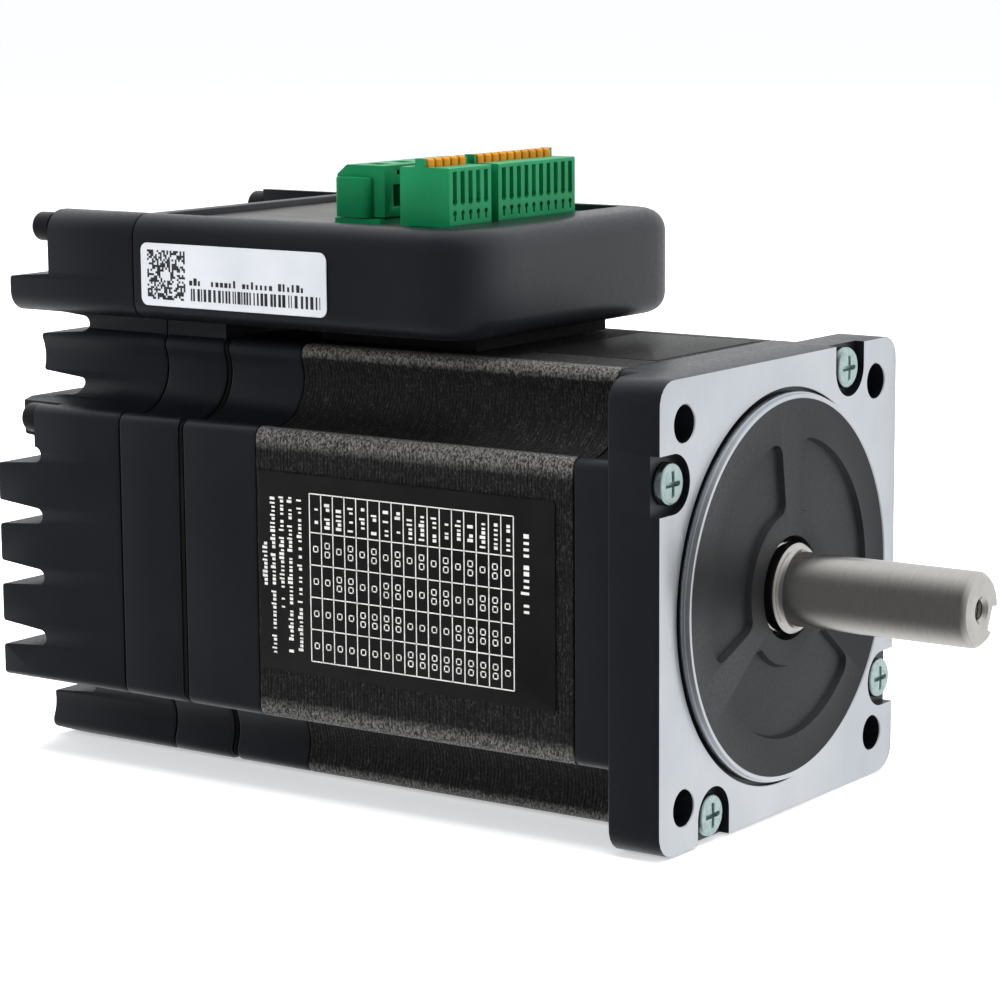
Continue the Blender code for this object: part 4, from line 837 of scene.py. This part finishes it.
def signalPlug(ways):
    # the front is a grid sunk by plugFront; its border is carried back in rings round the outer edges, and a
    # channel for the levers and a socket for each pin are cut out
    node = "signal_plug_%d" % ways
    low, high = span(node)
    front, back, foot = high[0], low[0], low[2]
    height = plug["bodyHeight"]
    start, end = low[1], high[1]
    centres = start + plug["end"] + plug["pitch"] * (np.arange(ways) + 0.5)
    e = plug["edge"]
    columns = int((end - start) / plug["step"])
    y, z = np.meshgrid(np.linspace(start + e, end - e, columns), np.linspace(e, height - e, 92))
    face = np.stack([front - plugFront(y, z, centres, height), y, foot + z], -1)
    loop = np.concatenate([face[0, :-1], face[:-1, -1], face[-1, :0:-1], face[:0:-1, 0]])
    middle = np.array([0.0, (start + end) / 2, foot + height / 2])
    grow = np.array([1.0, (end - start) / (end - start - 2 * e), height / (height - 2 * e)])

    def ring(x, share):
        # the face's border moved to x and grown towards the plug's full size
        spread = (loop - middle) * (1 + (grow - 1) * share) + middle
        spread[:, 0] = x
        return spread
    rings = np.array([ring(front, 0), ring(front - 0.3 * e, 0.7), ring(front - e, 1), ring(back + e, 1),
                      ring(back + 0.3 * e, 0.7), ring(back, 0)])
    points = np.concatenate([face.reshape(-1, 3), rings.reshape(-1, 3)])
    faces = gridFaces(face.shape[0], face.shape[1], False)
    base = face.shape[0] * face.shape[1]
    around = len(loop)
    faces += gridFaces(len(rings), around, True, base)
    faces.append(list(range(base + (len(rings) - 1) * around, base + len(rings) * around)))
    body = solid("signalPlug%d" % ways, points, faces)

    leverLow, leverHigh = span("lever_%d_1" % ways)
    top = foot + height
    channelBack, channelFront = leverLow[0] - 0.3, leverHigh[0] + 0.3
    tabBack, tabFront = channelBack + 2.0, channelFront - 0.6
    tabs = blocks("plugTabs", [(tabBack, start + 0.01, top - 1), (tabBack, end - plug["end"], top - 1)],
                  [(tabFront, start + plug["end"], high[2]), (tabFront, end - 0.01, high[2])])
    channel = blocks("leverChannel", [(channelBack, start + plug["end"], leverLow[2] - 1.3)],
                     [(channelFront, end - plug["end"], high[2] + 1)])
    pin = span("signal_header_%d" % ways)[1]
    pinX = front - 2.7
    sockets = blocks("pinSockets", [(pinX - 0.8, c - 0.8, foot - 1) for c in centres],
                     [(pinX + 0.8, c + 0.8, pin[2] + 0.6) for c in centres])
    carve(body, tabs, operation="UNION")
    carve(body, channel, sockets)
    finishPiece(body, [materials["green"]], [node], node + "_body", sharp=35)


def releaseLever(ways, number):
    # side outline carried across the lever: the front stands above the plug, the rear lies inside it
    node = "lever_%d_%d" % (ways, number)
    low, high = span(node)
    (x0, y0, z0), (x1, y1, z1) = low, high
    thumb = {"length": 2.2, "rear": 1.9, "lip": 0.35}
    step, foot = x1 - thumb["length"], z1 - thumb["rear"]
    outline = np.array([(x0, z0), (x1, z0), (x1, z1 - thumb["lip"]), (x1 - thumb["lip"], z1),
                        (step + 0.5, z1), (step, z1 - 0.25), (step, foot), (x0, foot)])
    lever = softenEdges(prism("lever%dWay%d" % (ways, number), outline, y0, y1, axis=1), 0.11, 2)
    finishPiece(lever, [materials["orange"]], [node], node + "_body")


def powerPlug():
    # a chamfered side outline carried across, a round-cornered foot at each end, and at every pole a wire
    # hole, a slit, a pin socket and a well for the screw
    settings = {"endX": 8.4, "endHeight": 7.6, "endDepth": 1.75, "chamfer": 2.3, "poles": 4, "pitch": 7.62}
    low, high = span("power_plug")
    depth, chamfer = settings["endDepth"], settings["chamfer"]
    inside = (high[1] - low[1]) / 2 - depth
    x0, x1, z0, z1 = low[0], high[0], low[2] + 0.1, high[2]
    outline = np.array([(x0, z0), (x1, z0), (x1, z1), (x0 + chamfer, z1), (x0, z1 - chamfer * 0.8)])
    body = prism("powerPlug", outline, -inside, inside, axis=1)
    ends = []
    for near, far in ((-inside - depth, -inside + 0.5), (inside - 0.5, inside + depth)):
        radii = [1.5, 1.5, 0.1, 0.1] if near < 0 else [0.1, 0.1, 1.5, 1.5]
        plan = roundedPlan((x0 + 0.3, near), (x0 + 0.3 + settings["endX"], far), radii, side=3)
        rings = [planRing(plan, z0 - 0.1), planRing(plan, z0 + settings["endHeight"] - 0.3),
                 planRing((plan - plan.mean(axis=0)) * 0.955 + plan.mean(axis=0), z0 + settings["endHeight"])]
        ends.append(skin("plugEnd", rings))
    carve(body, *ends, operation="UNION")
    poles = (np.arange(settings["poles"]) - (settings["poles"] - 1) / 2) * settings["pitch"]
    middle = (x0 + x1) / 2

    def atPoles(name, xLow, xHigh, half, zLow, zHigh):
        # the same block at each pole
        return blocks(name, [(xLow, c - half, zLow) for c in poles],
                      [(xHigh, c + half, zHigh) for c in poles])
    carve(body, atPoles("wireHoles", x1 - 3, x1 + 1, 2.1, z0 + 1.8, z0 + 6.2),
          atPoles("poleSlits", x1 - 1.2, x1 + 1, 0.9, z1 - 1.9, z1 - 1.0),
          atPoles("poleSockets", middle - 1.3, middle + 1.3, 1.3, z0 - 1, z0 + 5.6),
          atPoles("screwWells", x0 + 4.6, x0 + 8.2, 1.7, z1 - 1.6, z1 + 1))
    softenEdges(body, 0.2, 2, 40)
    finishPiece(body, [materials["green"]], ["power_plug"], "power_plug_body")


for ways in (5, 10):
    signalPlug(ways)
    for number in range(1, ways + 1):
        releaseLever(ways, number)
powerPlug()
print("terminals made")


def plateOnSide(name, low, high, corner, edge):
    # a thin plate on the near side, its outer edge rounded a little
    plan = roundedPlan((low[0], low[2]), (high[0], high[2]), [corner] * 4)
    middle = plan.mean(axis=0)
    size = (high - low)[[0, 2]]
    small = (plan - middle) * (1 - 2 * edge / size) + middle
    rings = [np.insert(small, 1, low[1], axis=1), np.insert(plan, 1, low[1] + 0.08, axis=1),
             np.insert(plan, 1, high[1], axis=1)]
    return skin(name, rings)


def printOn(name, marks, faceY, material):
    # flat marks (x0, z0, x1, z1) laid as thin ink just proud of a label's face
    marks = np.array(marks)
    ink, sunk = 0.03, 0.02
    lows = np.column_stack([marks[:, 0], np.full(len(marks), faceY - ink), marks[:, 1]])
    highs = np.column_stack([marks[:, 2], np.full(len(marks), faceY + sunk), marks[:, 3]])
    finishPiece(blocks(name, lows, highs), [material])


def wordMarks(random, start, end, low, high, vertical, letter):
    # a line of small print: short blocks of two heights with word gaps, which spells nothing
    marks = []
    place = start
    while place < end - letter:
        if random.random() < 0.15:
            place += letter
            continue
        height = (high - low) * random.choice([0.62, 0.62, 0.95])
        marks.append((place, low, place + letter * random.choice([0.45, 0.7]), low + height))
        place += letter
    if vertical:
        marks = [(low + high - b1, a0, low + high - b0, a1) for a0, b0, a1, b1 in marks]
    return marks


def ringMarks(centre, across, count, stroke):
    # the bars of small open squares in a row along z: one square for each position
    marks = []
    for number in range(count):
        x, z, half = centre[0], centre[1] + (number - (count - 1) / 2) * across * 1.35, across / 2
        near, far, foot, head = x - half, x + half, z - half, z + half
        marks += [(near, foot, near + stroke, head), (far - stroke, foot, far, head),
                  (near, foot, far, foot + stroke), (near, head - stroke, far, head)]
    return marks


def serialLabel():
    # a silver plate with a square field of cells filled by chance round a clear middle, a row of bars whose
    # widths are drawn by chance, and one line of marks
    settings = {"corner": 1.6, "edge": 0.25, "codeCells": 23, "codeSize": 9.6, "margin": 1.4, "bars": 34}
    low, high = span("serial_label")
    label = plateOnSide("serialLabel", low, high, settings["corner"], settings["edge"])
    finishPiece(label, [materials["silver"]], ["serial_label"])
    random = np.random.default_rng(7)
    cell = settings["codeSize"] / settings["codeCells"]
    left, bottom = low[0] + settings["margin"] + 0.3, (low[2] + high[2]) / 2 - settings["codeSize"] / 2
    index = np.arange(settings["codeCells"]) - (settings["codeCells"] - 1) / 2
    clear = np.hypot(index[:, None], index[None, :]) < 2.6
    rows, columns = np.nonzero((random.random(clear.shape) < 0.56) & ~clear)
    marks = [(left + c * cell, bottom + r * cell, left + (c + 1) * cell, bottom + (r + 1) * cell)
             for r, c in zip(rows, columns)]
    x = left + settings["codeSize"] + 1.0
    end = high[0] - settings["margin"]
    widths = random.uniform(0.18, 0.75, settings["bars"] * 2)
    edges = x + np.cumsum(widths) / widths.sum() * (end - x)
    marks += [(edges[i], bottom + 0.1, edges[i + 1], bottom + 2.5) for i in range(0, len(edges) - 1, 2)]
    marks += wordMarks(random, x, end - 3, bottom + 3.1, bottom + 4.6, False, 1.1)
    printOn("serialPrint", marks, low[1], materials["blackInk"])
    print("serial label marks:", len(marks))


def tableLabel():
    # a black plate with a ruled table, a taller head row, small squares in the cells and, behind it, notes:
    # lines of marks, each given by its place, start and end
    settings = {"left": -78.0, "right": -31.2, "top": 16.6, "bottom": -15.6, "columns": 17, "rows": 5,
                "headRow": 7.4, "line": 0.22,
                "notes": ((-80.6, -14.0, 16.0), (-82.9, -14.5, 16.0), (-84.9, -6.0, 16.0),
                          (-87.0, -15.0, 16.0), (-89.0, -2.0, 7.0))}
    low, high = span("table_label")
    label = plateOnSide("tableLabel", low, high, 0.6, 0.15)
    finishPiece(label, [materials["film"]], ["table_label"])
    random = np.random.default_rng(11)
    half = settings["line"] / 2
    x = np.linspace(settings["left"], settings["right"], settings["columns"] + 1)
    head = settings["top"] - settings["headRow"]
    z = np.concatenate([[settings["top"]], np.linspace(head, settings["bottom"], settings["rows"])])
    marks = [(place - half, settings["bottom"], place + half, settings["top"]) for place in x]
    marks += [(settings["left"], place - half, settings["right"], place + half) for place in z]
    for column in range(settings["columns"]):
        middle = (x[column] + x[column + 1]) / 2
        marks += wordMarks(random, z[1] + 0.9, z[0] - 0.7, middle - 0.65, middle + 0.65, True, 0.85)
        for row in range(1, settings["rows"]):
            count = 1 + (column // 2 ** (row - 1)) % 2
            marks += ringMarks((middle, (z[row] + z[row + 1]) / 2), 1.25, count, 0.22)
    for place, start, end in settings["notes"]:
        marks += wordMarks(random, start, end, place - 0.6, place + 0.6, True, 0.78)
    marks += wordMarks(random, -1.0, 15.5, -29.7, -27.8, True, 1.15)
    printOn("tablePrint", marks, low[1], materials["whiteInk"])
    print("table label marks:", len(marks))


def topFilm():
    # a smooth film stuck along the top of the stack, clear of its laminations
    settings = {"back": -46.0, "near": -14.0, "far": 22.0, "margin": 0.6, "heights": (42.42, 42.56, 42.62)}
    front = span("stator_stack")[1][0] - settings["margin"]
    plan = roundedPlan((settings["back"], settings["near"]), (front, settings["far"]), [0.8] * 4, side=4)
    middle = plan.mean(axis=0)
    plans = (plan, plan, (plan - middle) * 0.99 + middle)
    film = skin("topFilm", [planRing(each, z) for each, z in zip(plans, settings["heights"])])
    finishPiece(film, [materials["film"]])


serialLabel()
tableLabel()
topFilm()
print("labels made")

# every CAD node gets the finish of its slot; those that are replaced keep it too
slotMaterials = {
    "black_cast": "casting", "stack_black": "sheets", "copper_coil": "copper", "seal_black": "rubber",
    "bearing_steel": "bearing", "shaft_steel": "steel", "core_steel": "core", "magnet_grey": "magnet",
    "board_green": "board", "zinc_screw": "zinc", "black_screw": "screwBlack", "deck_grey": "plate",
    "pad_grey": "pad", "can_blue": "can", "terminal_green": "green", "lever_orange": "orange",
    "label_silver": "silver", "label_black": "film"}
for entry in frame["record"]["subparts"]:
    node = nodes[entry["node"]]
    node.data.materials.clear()
    node.data.materials.append(materials[slotMaterials[entry["material_slot"]]])


def studio():
    # a pale floor that glows a little, a white backdrop that lights like a tent, and four soft lamps
    settings = {"floorSize": 40.0, "floorColour": (0.9, 0.9, 0.9), "floorGlow": 0.42,
                "tent": (-0.85, 0.5, 0.13, 0.95), "skySeen": 1.0}
    size = settings["floorSize"] / 2
    mesh = bpy.data.meshes.new("floor")
    corners = [(-size, -size, 0), (size, -size, 0), (size, size, 0), (-size, size, 0)]
    mesh.from_pydata(corners, [], [(0, 1, 2, 3)])
    floor = bpy.data.objects.new("floor", mesh)
    bpy.context.scene.collection.objects.link(floor)
    floor.location.z = cadBox[0][2] - 0.0004
    material, _, shader = newMaterial("paleFloor", 0.8, gloss=0.2)
    shader.inputs["Base Color"].default_value = (*settings["floorColour"], 1.0)
    shader.inputs["Emission Color"].default_value = (0.97, 0.985, 1.0, 1.0)
    shader.inputs["Emission Strength"].default_value = settings["floorGlow"]
    floor.data.materials.append(material)
    floor.visible_glossy = False
    world = bpy.data.worlds.new("studio")
    world.use_nodes = True
    links, background = world.node_tree.links, world.node_tree.nodes["Background"]
    background.inputs[0].default_value = (0.97, 0.985, 1.0, 1.0)
    # the backdrop is seen white; as a light it is a tent that darkens towards -y, where the viewer stands
    nodesIn = world.node_tree.nodes
    kinds = ("ShaderNodeTexCoord", "ShaderNodeSeparateXYZ", "ShaderNodeLightPath")
    coordinates, axes, path = (nodesIn.new(kind) for kind in kinds)
    tent, seen = nodesIn.new("ShaderNodeMapRange"), nodesIn.new("ShaderNodeMix")
    tent.interpolation_type = "SMOOTHSTEP"
    for socket, number in zip(("From Min", "From Max", "To Min", "To Max"), settings["tent"]):
        tent.inputs[socket].default_value = number
    links.new(coordinates.outputs["Generated"], axes.inputs["Vector"])
    links.new(axes.outputs["Y"], tent.inputs["Value"])
    links.new(path.outputs["Is Camera Ray"], seen.inputs["Factor"])
    links.new(tent.outputs["Result"], seen.inputs["A"])
    seen.inputs["B"].default_value = settings["skySeen"]
    links.new(seen.outputs["Result"], background.inputs[1])
    bpy.context.scene.world = world
    bpy.context.scene.view_settings.view_transform = "Standard"
    # name, place, target, size and power; only the tent is seen in reflections
    lamps = (("overhead", (0.0, 0.2, 1.2), (0, 0, 0.05), 1.2, 22.0),
             ("front", (1.2, 0.3, 0.35), (0.08, 0, 0.04), 0.7, 7.0),
             ("left", (-0.5, -1.2, 0.6), (-0.03, 0, 0.06), 0.6, 10.0),
             ("back", (-0.2, 1.2, 0.7), (0, 0, 0.06), 1.0, 8.0))
    for name, place, target, size, power in lamps:
        lamp = bpy.data.lights.new(name, "AREA")
        lamp.shape = "SQUARE"
        lamp.size = size
        lamp.energy = power
        holder = bpy.data.objects.new(name, lamp)
        bpy.context.scene.collection.objects.link(holder)
        holder.location = place
        holder.visible_glossy = False
        holder.rotation_euler = (Vector(target) - Vector(place)).to_track_quat("-Z", "Y").to_euler()


def camera():
    # forward comes from azimuth and elevation, right and up lean by roll; place is from the datum in metres
    view = {"azimuth": 34.744, "elevation": 9.798, "roll": -0.315, "lens": 118.29, "sensor": 36.0,
            "place": (0.3028, -0.5207, 0.1167), "shift": (-0.0254, 0.0194)}
    azimuth, elevation, roll = (math.radians(view[key]) for key in ("azimuth", "elevation", "roll"))
    forward = Vector((-math.sin(azimuth) * math.cos(elevation), math.cos(azimuth) * math.cos(elevation),
                      -math.sin(elevation)))
    right = Vector((math.cos(azimuth), math.sin(azimuth), 0.0))
    up = right.cross(forward)
    leanRight = right * math.cos(roll) + up * math.sin(roll)
    leanUp = up * math.cos(roll) - right * math.sin(roll)
    lens = bpy.data.cameras.new("camera")
    lens.sensor_width = view["sensor"]
    lens.lens = view["lens"]
    lens.shift_x, lens.shift_y = view["shift"]
    holder = bpy.data.objects.new("camera", lens)
    bpy.context.scene.collection.objects.link(holder)
    turn = Matrix((leanRight, leanUp, -forward)).transposed().to_4x4()
    holder.matrix_world = Matrix.Translation(Vector(datum) + Vector(view["place"])) @ turn
    bpy.context.scene.camera = holder


studio()
camera()
